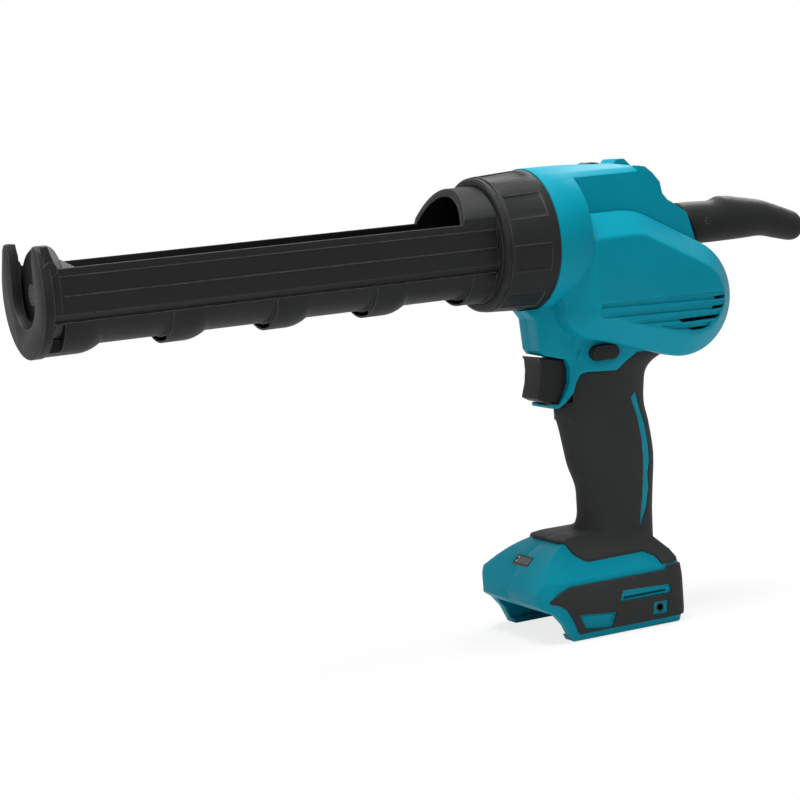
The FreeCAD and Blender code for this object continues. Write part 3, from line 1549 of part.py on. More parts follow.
def rear_wall():
    """The rib that holds the rear rod bush."""
    start = rear_bush_front()
    half = size.tower_half_width
    low = -size.rod_height / 2 - size.slide_gap - size.rear_bush_wall - size.housing_wall
    return box_between(Vector(start, -half, low), Vector(size.tower_rear + size.overrun, half, size.tower_top))


def rod_passage(gap):
    """The way of the rod through the housing."""
    half = Vector(0, size.rod_width / 2 + gap, size.rod_height / 2 + gap)
    low = Vector(housing_front - size.overrun, -half.y, -half.z)
    return box_between(low, Vector(size.tower_rear + size.overrun, half.y, half.z))


def rear_bush_seat():
    start = rear_bush_front()
    gap = size.seat_gap
    half = size.rod_width / 2 + size.slide_gap + size.rear_bush_wall + gap
    tall = size.rod_height / 2 + size.slide_gap + size.rear_bush_wall + gap
    low = Vector(start - size.overrun, -half, -tall)
    return box_between(low, Vector(start + size.rear_bush_length + gap, half, tall))


def control_openings():
    """Openings for the trigger, switch, lock button and dial."""
    gap = size.slide_gap
    mouth = trigger_mouth()
    deep = mouth.BoundBox.XMax
    switch_half = size.switch_half_width + size.seat_gap
    floor = -size.switch_top - size.switch_height - size.seat_gap
    room_end = size.switch_place + size.switch_length + size.seat_gap
    corner = Vector(room_end, switch_half, size.seat_gap - size.switch_top)
    room = box_between(Vector(deep - gap, -switch_half, floor), corner)
    reach = size.neck_half_width + size.lock_proud + size.overrun
    button = slab(lock_face(gap), Vector(0, -reach, 0), Vector(0, 2 * reach, 0))
    centre = dial_centre()
    width = size.dial_half_width + gap
    dial = round_bar(Vector(centre.x, -width, centre.z), Vector(0, 2 * width, 0), size.dial_radius + gap * 2)
    axle_reach = width + size.dial_axle_length + gap
    axle_start = Vector(centre.x, -axle_reach, centre.z)
    axle = round_bar(axle_start, Vector(0, 2 * axle_reach, 0), size.dial_axle_radius + size.run_gap)
    return [mouth, room, button, dial, axle]


def trigger_mouth():
    """The room that the trigger moves in."""
    gap = size.slide_gap
    half = size.trigger_half_width + gap
    top = gap - size.trigger_top
    low = -size.trigger_top - size.trigger_height - size.trigger_round / 2
    deep = size.trigger_front + size.trigger_length + size.trigger_travel + 2 * gap
    return box_between(Vector(size.trigger_front - size.overrun, -half, low), Vector(deep, half, top))


def lock_face(gap):
    """The oblong section of the lock button."""
    radius = size.lock_height / 2 + gap
    straight = (size.lock_length - size.lock_height) / 2
    front = size.lock_place - straight
    back = size.lock_place + straight
    low = -size.lock_drop - radius
    high = -size.lock_drop + radius
    edges = [Part.LineSegment(side(front, high), side(back, high)).toShape()]
    edges.append(Part.Arc(side(back, high), side(back + radius, -size.lock_drop), side(back, low)).toShape())
    edges.append(Part.LineSegment(side(back, low), side(front, low)).toShape())
    edges.append(Part.Arc(side(front, low), side(front - radius, -size.lock_drop), side(front, high)).toShape())
    return Part.Face(Part.Wire(edges))


def battery_bay():
    """The bay that a battery slides into from the front, with a rail along each side."""
    floor = -size.foot_top - size.foot_height
    start = size.foot_front - size.overrun
    end = size.foot_front + size.foot_length - size.bay_rear
    corner = Vector(start, -size.bay_half_width, floor + size.rail_height)
    upper = box_between(corner, Vector(end, size.bay_half_width, floor + size.bay_depth))
    half = size.bay_half_width - size.rail_width
    mouth = box_between(Vector(start, -half, floor - size.overrun), Vector(end, half, floor + size.bay_depth))
    return upper.fuse(mouth)


def foot_void():
    """The room above the battery bay for the control board."""
    floor = -size.foot_top - size.foot_height + size.bay_depth + size.housing_wall
    half = size.roof_half_width + size.housing_wall
    start = size.foot_front + size.foot_void_margin
    end = size.foot_front + size.foot_length - size.foot_void_margin
    return box_between(Vector(start, -half, floor), Vector(end, half, floor + size.foot_void_height))


def side_grooves():
    """The moulded grooves on the bulge's sides, the vents at their rear ends, and the slots in the foot."""
    half = size.bulge_half_width
    reach = half + size.overrun
    cuts = []
    for shares in groove_outline_shares:
        cuts += both_sides(groove_points(shares), half - size.groove_depth, reach)
    for shares in vent_outline_shares:
        cuts += both_sides(groove_points(shares), half - size.bulge_round, reach)
    start = size.card_slot_place
    end = start + size.card_slot_length
    top = -size.card_slot_drop
    low = top - size.card_slot_height
    depth = size.foot_half_width - size.card_slot_depth
    return cuts + both_sides([(start, top), (end, top), (end, low), (start, low)], depth, reach)


def groove_points(shares):
    return placed(shares, size.groove_front, size.groove_length, -size.groove_top, size.groove_height)


def both_sides(points, inner, outer):
    """A side outline drawn out between two distances from the middle plane, on both sides."""
    face = outline(side, points)
    return [slab(face, Vector(0, sign * inner, 0), Vector(0, sign * (outer - inner), 0)) for sign in (-1, 1)]


def insert_shape(radius, sign):
    face = size.foot_half_width
    start = Vector(size.insert_place, sign * face, -size.insert_drop)
    return round_bar(start, Vector(0, -sign * size.insert_length, 0), radius)


def lens_frame():
    """Place and turn of the window in the foot's sloping nose."""
    (first_x, first_z), (last_x, last_z) = foot_points(foot_outline_shares)[2:4]
    middle = Vector((first_x + last_x) / 2, 0, (first_z + last_z) / 2)
    return Placement(middle, Rotation(Vector(0, 1, 0), -math.degrees(math.atan2(last_z - first_z, last_x - first_x))))


def lens_shape(gap):
    half = size.lens_length / 2 + gap
    wide = size.lens_half_width + gap
    lens = box_between(Vector(-half, -wide, -size.lens_depth), Vector(half, wide, gap * size.overrun))
    lens.Placement = lens_frame()
    return lens


def indicator_window():
    feature("indicator_window", lens_shape(0))


def housing_halves():
    """Both halves of the clamshell housing, parted on the middle plane."""
    stripe = grip_shape(size.slide_gap).common(stripe_region(0))
    covered = soft_region(0).cut([grip_shape(size.sleeve_thickness), stripe])
    handle = neck_shape().fuse(grip_shape(0)).cut(covered)
    outer = barrel_shape().fuse([tower_shape(0), ridge_shape(), bulge_shape(0)]).fuse(handle.fuse(foot_shape(0, 0)))
    nose_length = Vector(size.front_wall + 2 * size.overrun, 0, 0)
    nose_radius = size.collar_bore_radius - size.slide_gap + size.seat_gap
    nose = round_bar(Vector(housing_front - size.overrun, 0, 0), nose_length, nose_radius)
    chin = round_bar(Vector(0, 0, 0), Vector(housing_front, 0, 0), size.collar_rear_radius + size.slide_gap)
    shell = outer.cut([housing_voids(), nose, chin, rod_passage(size.slide_gap), rear_bush_seat()])
    shell = shell.cut(grip_shape(size.sleeve_thickness + size.grip_wall)).cut(control_openings())
    shell = shell.cut(side_grooves()).cut([battery_bay(), foot_void(), lens_shape(size.seat_gap)])
    cuts = [screw_shape(place, size.seat_gap) for place, boss in screw_places()]
    cuts += [insert_shape(size.insert_radius + size.seat_gap, sign) for sign in (-1, 1)]
    shell = shell.cut(cuts)
    reach = size.holder_reach * 2
    for label, sign in (("housing_left", -1), ("housing_right", 1)):
        ends = sorted((0, sign * reach))
        room = box_between(Vector(-reach, ends[0], -reach), Vector(reach, ends[1], reach))
        feature(label, biggest(shell.common(room)))


def biggest(shape):
    """The one solid of a shape, leaving any loose sliver."""
    found = max(shape.Solids, key=lambda solid: solid.Volume)
    if shape.Volume - found.Volume > found.Volume * size.sliver_share:
        raise RuntimeError("a moulding came out in more than one piece")
    return found


# The soft pieces


def soft_sleeves():
    """The soft grip, moulded round the handle and over the foot's roof, in two halves."""
    under = size.sleeve_thickness - size.seat_gap
    core = grip_shape(under)
    lip = spread(outline(side, neck_points(lip_outline_shares)), size.trigger_half_width)
    cover = grip_shape(0).fuse(lip).common(soft_region(size.seat_gap)).cut(core)
    flank = placed(skirt_outline_shares, size.foot_front, size.foot_length, 0, -size.foot_half_width)
    corners = flank + [(x, -y) for x, y in reversed(flank)]
    path = rounded(corners, [size.skirt_round] * len(corners))
    height = size.foot_height
    skirt = slab(outline(plan, path), Vector(0, 0, -size.foot_top - height), Vector(0, 0, 2 * height))
    roof = foot_shape(0, size.skirt_thickness).cut(foot_shape(0, size.seat_gap)).common(skirt).cut(core)
    lowest = bumper_top() + size.seat_gap
    reach = size.holder_reach
    below = box_between(Vector(-reach, -reach, -reach * 2), Vector(reach, reach, lowest))
    sleeve = cover.cut([bulge_shape(0), foot_shape(0, size.seat_gap)]).fuse(roof).cut(below)
    sleeve = sleeve.cut([stripe_region(size.seat_gap), trigger_mouth()])
    for label, sign in (("grip_left", -1), ("grip_right", 1)):
        ends = sorted((0, sign * reach))
        room = box_between(Vector(-reach, ends[0], -reach), Vector(reach, ends[1], reach))
        feature(label, biggest(sleeve.common(room)))


def bumper_top():
    """The height where the bumper meets the sleeve behind the grip."""
    return -size.foot_top - bumper_outline_shares[0][1] * size.foot_height


def foot_bumpers():
    """The soft bands round the foot, with openings for the badge plate, the slot and the hook insert."""
    grow = size.bumper_thickness
    height = size.foot_top + size.foot_height + size.overrun
    ring = slab(foot_plan(grow), Vector(0, 0, -height), Vector(0, 0, height))
    ring = ring.cut([foot_shape(size.seat_gap, 0), grip_shape(size.sleeve_thickness - size.seat_gap)])
    middle = size.foot_half_width - size.foot_corner
    behind = box_between(Vector(0, -middle, bumper_top()), Vector(height, middle, 0))
    ring = ring.cut([foot_shape(0, size.skirt_thickness + size.seat_gap), behind])
    reach = size.foot_half_width + grow + size.overrun
    band = ring.common(spread(outline(side, foot_points(bumper_outline_shares)), reach))
    for shares in (badge_outline_shares, slot_outline_shares, insert_outline_shares):
        band = band.cut(spread(outline(side, foot_points(shares)), reach))
    for label, sign in (("foot_bumper_left", -1), ("foot_bumper_right", 1)):
        ends = sorted((0, sign * reach))
        room = box_between(Vector(-reach, ends[0], -height), Vector(2 * reach + size.foot_length, ends[1], 0))
        feature(label, biggest(band.common(room)))


# The controls


def trigger():
    across_trigger = (size.trigger_front, size.trigger_length)
    points = placed(trigger_outline_shares, *across_trigger, -size.trigger_top, size.trigger_height)
    solid = spread(outline(side, points), size.trigger_half_width)
    edges = [edge for edge in solid.Edges if abs(abs(edge.CenterOfMass.y) - size.trigger_half_width) < size.run_gap]
    solid = solid.makeFillet(size.trigger_round * 0.6, edges)
    middle = -size.trigger_top - size.trigger_height / 2
    back = size.trigger_front + size.trigger_length * 0.9
    end = size.switch_place - size.slide_gap - size.trigger_travel
    half = size.trigger_stem / 2
    stem = box_between(Vector(back, -half, middle - half), Vector(end, half, middle + half))
    feature("trigger", solid.fuse(stem).removeSplitter())


def switch_body():
    corner = ("switch_place", "-switch_half_width", "-switch_top - switch_height")
    keep(block("switch_body", corner, ("switch_length", "2 * switch_half_width", "switch_height")))


def lock_button():
    start = -size.neck_half_width - size.lock_proud
    length = 2 * size.neck_half_width + size.lock_proud - size.lock_travel / 2
    feature("lock_button", slab(lock_face(0), Vector(0, start, 0), Vector(0, length, 0)))


def speed_dial():
    """The thumb wheel in the top of the tower, with its axle and its notched rim."""
    centre = dial_centre()
    half = size.dial_half_width
    wheel = round_bar(Vector(centre.x, -half, centre.z), Vector(0, 2 * half, 0), size.dial_radius)
    reach = half + size.dial_axle_length
    axle = round_bar(Vector(centre.x, -reach, centre.z), Vector(0, 2 * reach, 0), size.dial_axle_radius)
    solid = wheel.fuse(axle)
    notch = size.dial_notch
    for number in range(int(size.dial_notches)):
        low = Vector(centre.x + size.dial_radius - notch, -half, centre.z - notch / 2)
        tool = box_between(low, Vector(centre.x + size.dial_radius + size.overrun, half, centre.z + notch / 2))
        tool.rotate(centre, Vector(0, 1, 0), (number + 0.5) * 360 / size.dial_notches)
        solid = solid.cut(tool)
    feature("speed_dial", solid.removeSplitter())


# The electrics


def electrics():
    roof = "-foot_top - foot_height + bay_depth - seat_gap"
    corner = ("terminal_place", "-terminal_half_width", f"{roof} - terminal_height")
    keep(block("terminal_block", corner, ("terminal_length", "2 * terminal_half_width", "terminal_height")))
    blades = []
    for sign in ("-", ""):
        inner = f"{sign}blade_spacing / 2 - blade_thickness / 2"
        corner = ("terminal_place + terminal_length / 4", inner, f"{roof} - terminal_height - blade_height")
        sides = ("blade_length", "blade_thickness", "blade_height")
        blades.append(block(f"terminal_blade_{len(blades)}", corner, sides))
    group = doc.addObject("Part::Compound", "terminal_blades")
    group.Links = blades
    keep(group)
    floor = "-foot_top - foot_height + bay_depth + housing_wall + seat_gap"
    corner = ("foot_front + foot_void_margin + seat_gap * 10", "-board_half_width", floor)
    keep(block("control_board", corner, ("board_length", "2 * board_half_width", "board_thickness")))


def hook_inserts():
    """Threaded inserts in the foot for a belt hook, one each side."""
    rings = []
    for sign in (-1, 1):
        rings.append(insert_shape(size.insert_radius, sign).cut(insert_shape(size.insert_bore_radius, sign)))
    feature("hook_inserts", Part.makeCompound(rings))


def check_and_write():
    """Stops on any failed object, then writes each piece to its own file."""
    doc.recompute()
    for item in doc.Objects:
        if "Invalid" in item.State or "Error" in item.State:
            raise RuntimeError(f"{item.Label} failed: {item.State}")
    os.makedirs("parts", exist_ok=True)
    for item in nodes:
        if item.Shape.isNull() or not item.Shape.isValid() or not item.Shape.Solids:
            raise RuntimeError(f"{item.Label} has no valid shape")
        item.Shape.exportStep(os.path.join("parts", f"{item.Label}.step"))
        print(item.Label, len(item.Shape.Solids), round(item.Shape.Volume))


cartridge_holder()
holder_collar()
nose_sleeve()
rod_bushes()
rack_rod()
piston_pieces()
rod_handle()
handle_screw()
gear_train()
gear_plates()
motor()
housing_halves()
housing_screws()
soft_sleeves()
foot_bumpers()
trigger()
switch_body()
lock_button()
speed_dial()
electrics()
hook_inserts()
indicator_window()
check_and_write()
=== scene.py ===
# %% [markdown]
# # A cordless caulking tool, dressed in Blender
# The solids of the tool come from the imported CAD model, in metres, in one frame: X runs along the
# push rod with the nozzle end at -X, Z is up, and the tool's left side is at -Y. This lesson keeps
# the solids where they are, rounds their moulded edges, gives each its finish, and adds the small
# things that a moulding tool or a printer puts on the real object.

# %% Load the frame
import json
import math

import bpy
from mathutils import Matrix, Vector

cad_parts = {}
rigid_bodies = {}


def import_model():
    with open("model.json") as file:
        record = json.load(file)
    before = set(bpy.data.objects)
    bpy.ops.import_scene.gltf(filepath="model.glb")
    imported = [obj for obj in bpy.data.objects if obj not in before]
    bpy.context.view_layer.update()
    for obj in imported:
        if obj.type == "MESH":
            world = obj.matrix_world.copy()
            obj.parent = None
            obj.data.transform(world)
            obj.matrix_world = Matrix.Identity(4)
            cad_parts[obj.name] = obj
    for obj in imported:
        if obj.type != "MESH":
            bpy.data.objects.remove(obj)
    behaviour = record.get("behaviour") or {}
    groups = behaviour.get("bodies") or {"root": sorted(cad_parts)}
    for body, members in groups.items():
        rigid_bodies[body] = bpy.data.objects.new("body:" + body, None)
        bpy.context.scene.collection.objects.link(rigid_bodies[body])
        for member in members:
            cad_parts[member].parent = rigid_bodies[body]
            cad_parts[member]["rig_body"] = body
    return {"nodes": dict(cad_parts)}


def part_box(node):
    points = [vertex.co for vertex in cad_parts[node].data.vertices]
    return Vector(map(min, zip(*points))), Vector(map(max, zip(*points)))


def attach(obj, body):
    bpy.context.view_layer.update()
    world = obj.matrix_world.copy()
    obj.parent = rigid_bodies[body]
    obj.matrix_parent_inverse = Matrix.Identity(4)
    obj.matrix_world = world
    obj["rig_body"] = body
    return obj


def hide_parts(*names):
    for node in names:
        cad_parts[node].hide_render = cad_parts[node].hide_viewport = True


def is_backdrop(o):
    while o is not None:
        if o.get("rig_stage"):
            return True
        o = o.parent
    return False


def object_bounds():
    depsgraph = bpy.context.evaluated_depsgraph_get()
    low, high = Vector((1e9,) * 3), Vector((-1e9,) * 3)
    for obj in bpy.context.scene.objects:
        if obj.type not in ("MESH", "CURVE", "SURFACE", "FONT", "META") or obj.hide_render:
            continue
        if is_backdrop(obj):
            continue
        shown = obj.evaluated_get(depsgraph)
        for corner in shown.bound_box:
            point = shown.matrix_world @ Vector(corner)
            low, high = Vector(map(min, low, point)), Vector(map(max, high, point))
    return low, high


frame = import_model()
nodes = frame["nodes"]
cad_low, cad_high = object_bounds()
print("solids:", len(nodes), "box:", [round(side, 4) for side in cad_high - cad_low])

# %% [markdown]
# ## Camera
# The photograph was taken with a long lens, a little above the tool and from its front left. A
# camera could be aimed with a constraint, but then it can't roll. Here its three axes are written
# down as they were solved from the tool's own straight edges, and they become its matrix.

# %% Set the camera
CAMERA_PLACE = Vector((-0.6414, -1.1550, 0.0911))
CAMERA_RIGHT = Vector((0.8837, -0.4620, -0.0757))
CAMERA_UP = Vector((0.1268, 0.0805, 0.9887))
CAMERA_LENS = 109.0
SENSOR_WIDTH = 36.0

bpy.ops.object.camera_add()
camera = bpy.context.object
right = CAMERA_RIGHT.normalized()
back = right.cross(CAMERA_UP).normalized()
turn = Matrix((right, back.cross(right), back)).transposed()
camera.matrix_world = Matrix.Translation(CAMERA_PLACE) @ turn.to_4x4()
camera.data.lens = CAMERA_LENS
camera.data.sensor_width = SENSOR_WIDTH
bpy.context.scene.camera = camera
bpy.context.scene.view_settings.view_transform = "Standard"
print("camera:", [round(part, 3) for part in camera.location])

# %% [markdown]
# ## Studio
# A catalogue picture is lit by large soft boxes: a broad one overhead, which brightens every top
# face, a weaker one beside the camera, and a low one behind for the rims. The world is white to the
# camera and to reflections, and dimmer as a light, so the white surround doesn't wash out the colours.
# The floor is matt paper near the foot, where it keeps the shadow, and glows to pure white further out.


# %% Build the floor, the world and the lamps
def clear_nodes(tree):
    tree.nodes.clear()
    return tree.nodes, tree.links


def seen_directly(tree):
    """One for camera, glossy and transmission rays, nothing for light that bounces."""
    path = tree.nodes.new("ShaderNodeLightPath")
    first = tree.nodes.new("ShaderNodeMath")
    first.operation = "MAXIMUM"
    tree.links.new(path.outputs["Is Camera Ray"], first.inputs[0])
    tree.links.new(path.outputs["Is Glossy Ray"], first.inputs[1])
    second = tree.nodes.new("ShaderNodeMath")
    second.operation = "MAXIMUM"
    tree.links.new(first.outputs[0], second.inputs[0])
    tree.links.new(path.outputs["Is Transmission Ray"], second.inputs[1])
    return second.outputs[0]


WHITE = (1, 1, 1, 1)
AMBIENT = 0.17
world = bpy.data.worlds.new("studio_world")
bpy.context.scene.world = world
world.use_nodes = True
made, links = clear_nodes(world.node_tree)
dim = made.new("ShaderNodeBackground")
dim.inputs["Color"].default_value = WHITE
dim.inputs["Strength"].default_value = AMBIENT
white = made.new("ShaderNodeBackground")
white.inputs["Color"].default_value = WHITE
white.inputs["Strength"].default_value = 1.0
mixed = made.new("ShaderNodeMixShader")
ending = made.new("ShaderNodeOutputWorld")
links.new(seen_directly(world.node_tree), mixed.inputs["Fac"])
links.new(dim.outputs[0], mixed.inputs[1])
links.new(white.outputs[0], mixed.inputs[2])
links.new(mixed.outputs[0], ending.inputs["Surface"])

FLOOR_SIZE = 12.0
FLOOR_MIDDLE = 0.055
FLOOR_GAP = 0.0005
FLOOR_GLOW = 0.8
PAPER_WHITE = (0.9, 0.9, 0.9, 1)
SHADOW_REACH = (0.05, 0.26)
bpy.ops.mesh.primitive_plane_add(size=FLOOR_SIZE, location=(FLOOR_MIDDLE, 0, cad_low.z - FLOOR_GAP))
floor = bpy.context.object
floor.name = "studio_floor"
paper = bpy.data.materials.new("white_paper")
paper.use_nodes = True
made, links = clear_nodes(paper.node_tree)
matt = made.new("ShaderNodeBsdfDiffuse")
matt.inputs["Color"].default_value = PAPER_WHITE
glow = made.new("ShaderNodeEmission")
place = made.new("ShaderNodeTexCoord")
distance = made.new("ShaderNodeVectorMath")
distance.operation = "LENGTH"
fade = made.new("ShaderNodeMapRange")
fade.inputs["From Min"].default_value, fade.inputs["From Max"].default_value = SHADOW_REACH
fade.inputs["To Min"].default_value = FLOOR_GLOW
fade.inputs["To Max"].default_value = 1.0
links.new(place.outputs["Object"], distance.inputs[0])
links.new(distance.outputs["Value"], fade.inputs["Value"])
share = made.new("ShaderNodeMath")
share.operation = "MULTIPLY"
links.new(fade.outputs["Result"], share.inputs[1])
mixed = made.new("ShaderNodeMixShader")
ending = made.new("ShaderNodeOutputMaterial")
links.new(seen_directly(paper.node_tree), share.inputs[0])
links.new(share.outputs[0], mixed.inputs["Fac"])
links.new(matt.outputs[0], mixed.inputs[1])
links.new(glow.outputs[0], mixed.inputs[2])
links.new(mixed.outputs[0], ending.inputs["Surface"])
floor.data.materials.append(paper)
floor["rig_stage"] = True

# Each lamp: its place, the point it faces, its width and its power.
LAMPS = {
    "overhead_box": ((-0.2, -0.05, 1.2), (0.0, 0.0, 0.0), 0.8, 30.0),
    "front_box": ((-0.6, -1.25, 0.75), (0.02, 0.0, -0.05), 0.9, 2.5),
    "rear_box": ((0.95, 0.75, 0.75), (0.05, 0.0, -0.02), 0.7, 8.0),
}
for name, (place, aim, width, power) in LAMPS.items():
    bpy.ops.object.light_add(type="AREA", location=place)
    lamp = bpy.context.object
    lamp.name = name
    lamp.data.shape = "DISK"
    lamp.data.size = width
    lamp.data.energy = power
    lamp.rotation_euler = (Vector(aim) - Vector(place)).to_track_quat("-Z", "Y").to_euler()
print("lamps:", sorted(LAMPS))

# %% [markdown]
# ## Effects that several finishes share
# Moulded plastic isn't one flat colour. The steel mould is etched, so the skin has a fine grain, and
# the melt cools unevenly, so gloss and colour drift a little over some centimetres. Handling also
# polishes the edges. Their lighter colour also stands in for the highlights that the small edge radii
# catch, so it is partly painted highlight. Each effect is a node group, made once, that a finish
# places with its own values.


# %% Build the shared node groups
NOISE_MIDDLE = (0.35, 0.65)
PATCH_SCALE = 160
EDGE_SAMPLES = 4


def new_group(name, inputs, outputs):
    """A shader node group with its named sockets."""
    group = bpy.data.node_groups.new(name, "ShaderNodeTree")
    for label, kind, value in inputs:
        made_socket = group.interface.new_socket(name=label, in_out="INPUT", socket_type=kind)
        made_socket.default_value = value
    for label, kind in outputs:
        group.interface.new_socket(name=label, in_out="OUTPUT", socket_type=kind)
    start = group.nodes.new("NodeGroupInput")
    end = group.nodes.new("NodeGroupOutput")
    return group, start, end


def noise(tree, vector, detail):
    item = tree.nodes.new("ShaderNodeTexNoise")
    item.inputs["Detail"].default_value = detail
    tree.links.new(vector, item.inputs["Vector"])
    return item


def spread_between(tree, value, low, high):
    """Maps the middle of a noise to the range between two sockets."""
    item = tree.nodes.new("ShaderNodeMapRange")
    item.inputs["From Min"].default_value, item.inputs["From Max"].default_value = NOISE_MIDDLE
    tree.links.new(value, item.inputs["Value"])
    tree.links.new(low, item.inputs["To Min"])
    tree.links.new(high, item.inputs["To Max"])
    return item.outputs["Result"]


def blend_colour(tree, share, first, second):
    item = tree.nodes.new("ShaderNodeMix")
    item.data_type = "RGBA"
    tree.links.new(share, item.inputs["Factor"])
    tree.links.new(first, item.inputs["A"])
    tree.links.new(second, item.inputs["B"])
    return item.outputs["Result"]


COLOUR = "NodeSocketColor"
NUMBER = "NodeSocketFloat"
VECTOR = "NodeSocketVector"

skin, start, end = new_group(
    "moulded_skin",
    [("Colour", COLOUR, (0.5, 0.5, 0.5, 1)), ("Drift Colour", COLOUR, (0.4, 0.4, 0.4, 1)),
     ("Grain Scale", NUMBER, 2400), ("Drift Scale", NUMBER, 22),
     ("Gloss Low", NUMBER, 0.4), ("Gloss High", NUMBER, 0.5)],
    [("Colour", COLOUR), ("Roughness", NUMBER), ("Height", NUMBER)])
place = skin.nodes.new("ShaderNodeTexCoord")
grain = noise(skin, place.outputs["Object"], 2)
drift = noise(skin, place.outputs["Object"], 3)
skin.links.new(start.outputs["Grain Scale"], grain.inputs["Scale"])
skin.links.new(start.outputs["Drift Scale"], drift.inputs["Scale"])
coloured = blend_colour(
    skin, drift.outputs["Fac"], start.outputs["Colour"], start.outputs["Drift Colour"])
skin.links.new(coloured, end.inputs["Colour"])
gloss = spread_between(
    skin, grain.outputs["Fac"], start.outputs["Gloss Low"], start.outputs["Gloss High"])
skin.links.new(gloss, end.inputs["Roughness"])
skin.links.new(grain.outputs["Fac"], end.inputs["Height"])

# Edge colour: lighter where the Bevel normal turns from the true normal, broken into patches. It is partly
# wear and partly painted highlight on the rounded edges.
edge_wear_and_highlight, start, end = new_group(
    "rubbed_and_highlit_edges",
    [("Colour", COLOUR, (0.5, 0.5, 0.5, 1)), ("Rubbed Colour", COLOUR, (0.6, 0.6, 0.6, 1)),
     ("Radius", NUMBER, 0.0008), ("Amount", NUMBER, 3.0)],
    [("Colour", COLOUR), ("Mask", NUMBER)])
place = edge_wear_and_highlight.nodes.new("ShaderNodeTexCoord")
patches = noise(edge_wear_and_highlight, place.outputs["Object"], 3)
patches.inputs["Scale"].default_value = PATCH_SCALE
edge = edge_wear_and_highlight.nodes.new("ShaderNodeBevel")
edge.samples = EDGE_SAMPLES
edge_wear_and_highlight.links.new(start.outputs["Radius"], edge.inputs["Radius"])
surface = edge_wear_and_highlight.nodes.new("ShaderNodeNewGeometry")
level = edge_wear_and_highlight.nodes.new("ShaderNodeVectorMath")
level.operation = "DOT_PRODUCT"
edge_wear_and_highlight.links.new(edge.outputs["Normal"], level.inputs[0])
edge_wear_and_highlight.links.new(surface.outputs["Normal"], level.inputs[1])
away = edge_wear_and_highlight.nodes.new("ShaderNodeMath")
away.operation = "SUBTRACT"
away.inputs[0].default_value = 1.0
edge_wear_and_highlight.links.new(level.outputs["Value"], away.inputs[1])
stronger = edge_wear_and_highlight.nodes.new("ShaderNodeMath")
stronger.operation = "MULTIPLY"
edge_wear_and_highlight.links.new(away.outputs[0], stronger.inputs[0])
edge_wear_and_highlight.links.new(start.outputs["Amount"], stronger.inputs[1])
broken = edge_wear_and_highlight.nodes.new("ShaderNodeMath")
broken.operation = "MULTIPLY"
broken.use_clamp = True
edge_wear_and_highlight.links.new(stronger.outputs[0], broken.inputs[0])
edge_wear_and_highlight.links.new(patches.outputs["Fac"], broken.inputs[1])
coloured = blend_colour(
    edge_wear_and_highlight, broken.outputs[0], start.outputs["Colour"], start.outputs["Rubbed Colour"])
edge_wear_and_highlight.links.new(coloured, end.inputs["Colour"])
edge_wear_and_highlight.links.new(broken.outputs[0], end.inputs["Mask"])

metal, start, end = new_group(
    "worked_metal",
    [("Colour", COLOUR, (0.6, 0.6, 0.6, 1)), ("Dark Colour", COLOUR, (0.4, 0.4, 0.4, 1)),
     ("Stretch", VECTOR, (1, 1, 1)), ("Line Scale", NUMBER, 900),
     ("Gloss Low", NUMBER, 0.25), ("Gloss High", NUMBER, 0.45)],
    [("Colour", COLOUR), ("Roughness", NUMBER), ("Height", NUMBER)])
place = metal.nodes.new("ShaderNodeTexCoord")
drawn = metal.nodes.new("ShaderNodeVectorMath")
drawn.operation = "MULTIPLY"
metal.links.new(place.outputs["Object"], drawn.inputs[0])
metal.links.new(start.outputs["Stretch"], drawn.inputs[1])
lines = noise(metal, drawn.outputs["Vector"], 3)
metal.links.new(start.outputs["Line Scale"], lines.inputs["Scale"])
coloured = blend_colour(
    metal, lines.outputs["Fac"], start.outputs["Colour"], start.outputs["Dark Colour"])
metal.links.new(coloured, end.inputs["Colour"])
gloss = spread_between(
    metal, lines.outputs["Fac"], start.outputs["Gloss Low"], start.outputs["Gloss High"])
metal.links.new(gloss, end.inputs["Roughness"])
metal.links.new(lines.outputs["Fac"], end.inputs["Height"])
print("groups:", [group.name for group in (skin, edge_wear_and_highlight, metal)])

# %% [markdown]
# ## Finishes
# The tool has few materials: teal nylon for the housing, black glass-filled nylon for the holder and
# the collar, soft rubber for the grip, and metals inside. A colour is written as it looks on screen
# and changed to the linear numbers that a shader needs.


# %% Make the finishes
GRAIN_STRENGTH = 0.35
LINE_STRENGTH, LINE_DEPTH = 0.3, 0.00002


def linear(red, green, blue):
    """A screen colour, 0 to 255, as linear light."""
    shares = [part / 255 for part in (red, green, blue)]
    bent = [part / 12.92 if part <= 0.04045 else ((part + 0.055) / 1.055) ** 2.4 for part in shares]
    return (*bent, 1.0)


def shader_of(name):
    material = bpy.data.materials.new(name)
    material.use_nodes = True
    shader = material.node_tree.nodes["Principled BSDF"]
    return material, material.node_tree, shader


def place_group(tree, group, **values):
    item = tree.nodes.new("ShaderNodeGroup")
    item.node_tree = group
    for label, value in values.items():
        item.inputs[label.replace("_", " ")].default_value = value
    return item


def raised(tree, height, distance, strength, shader):
    bump = tree.nodes.new("ShaderNodeBump")
    bump.inputs["Strength"].default_value = strength
    bump.inputs["Distance"].default_value = distance
    tree.links.new(height, bump.inputs["Height"])
    tree.links.new(bump.outputs["Normal"], shader.inputs["Normal"])


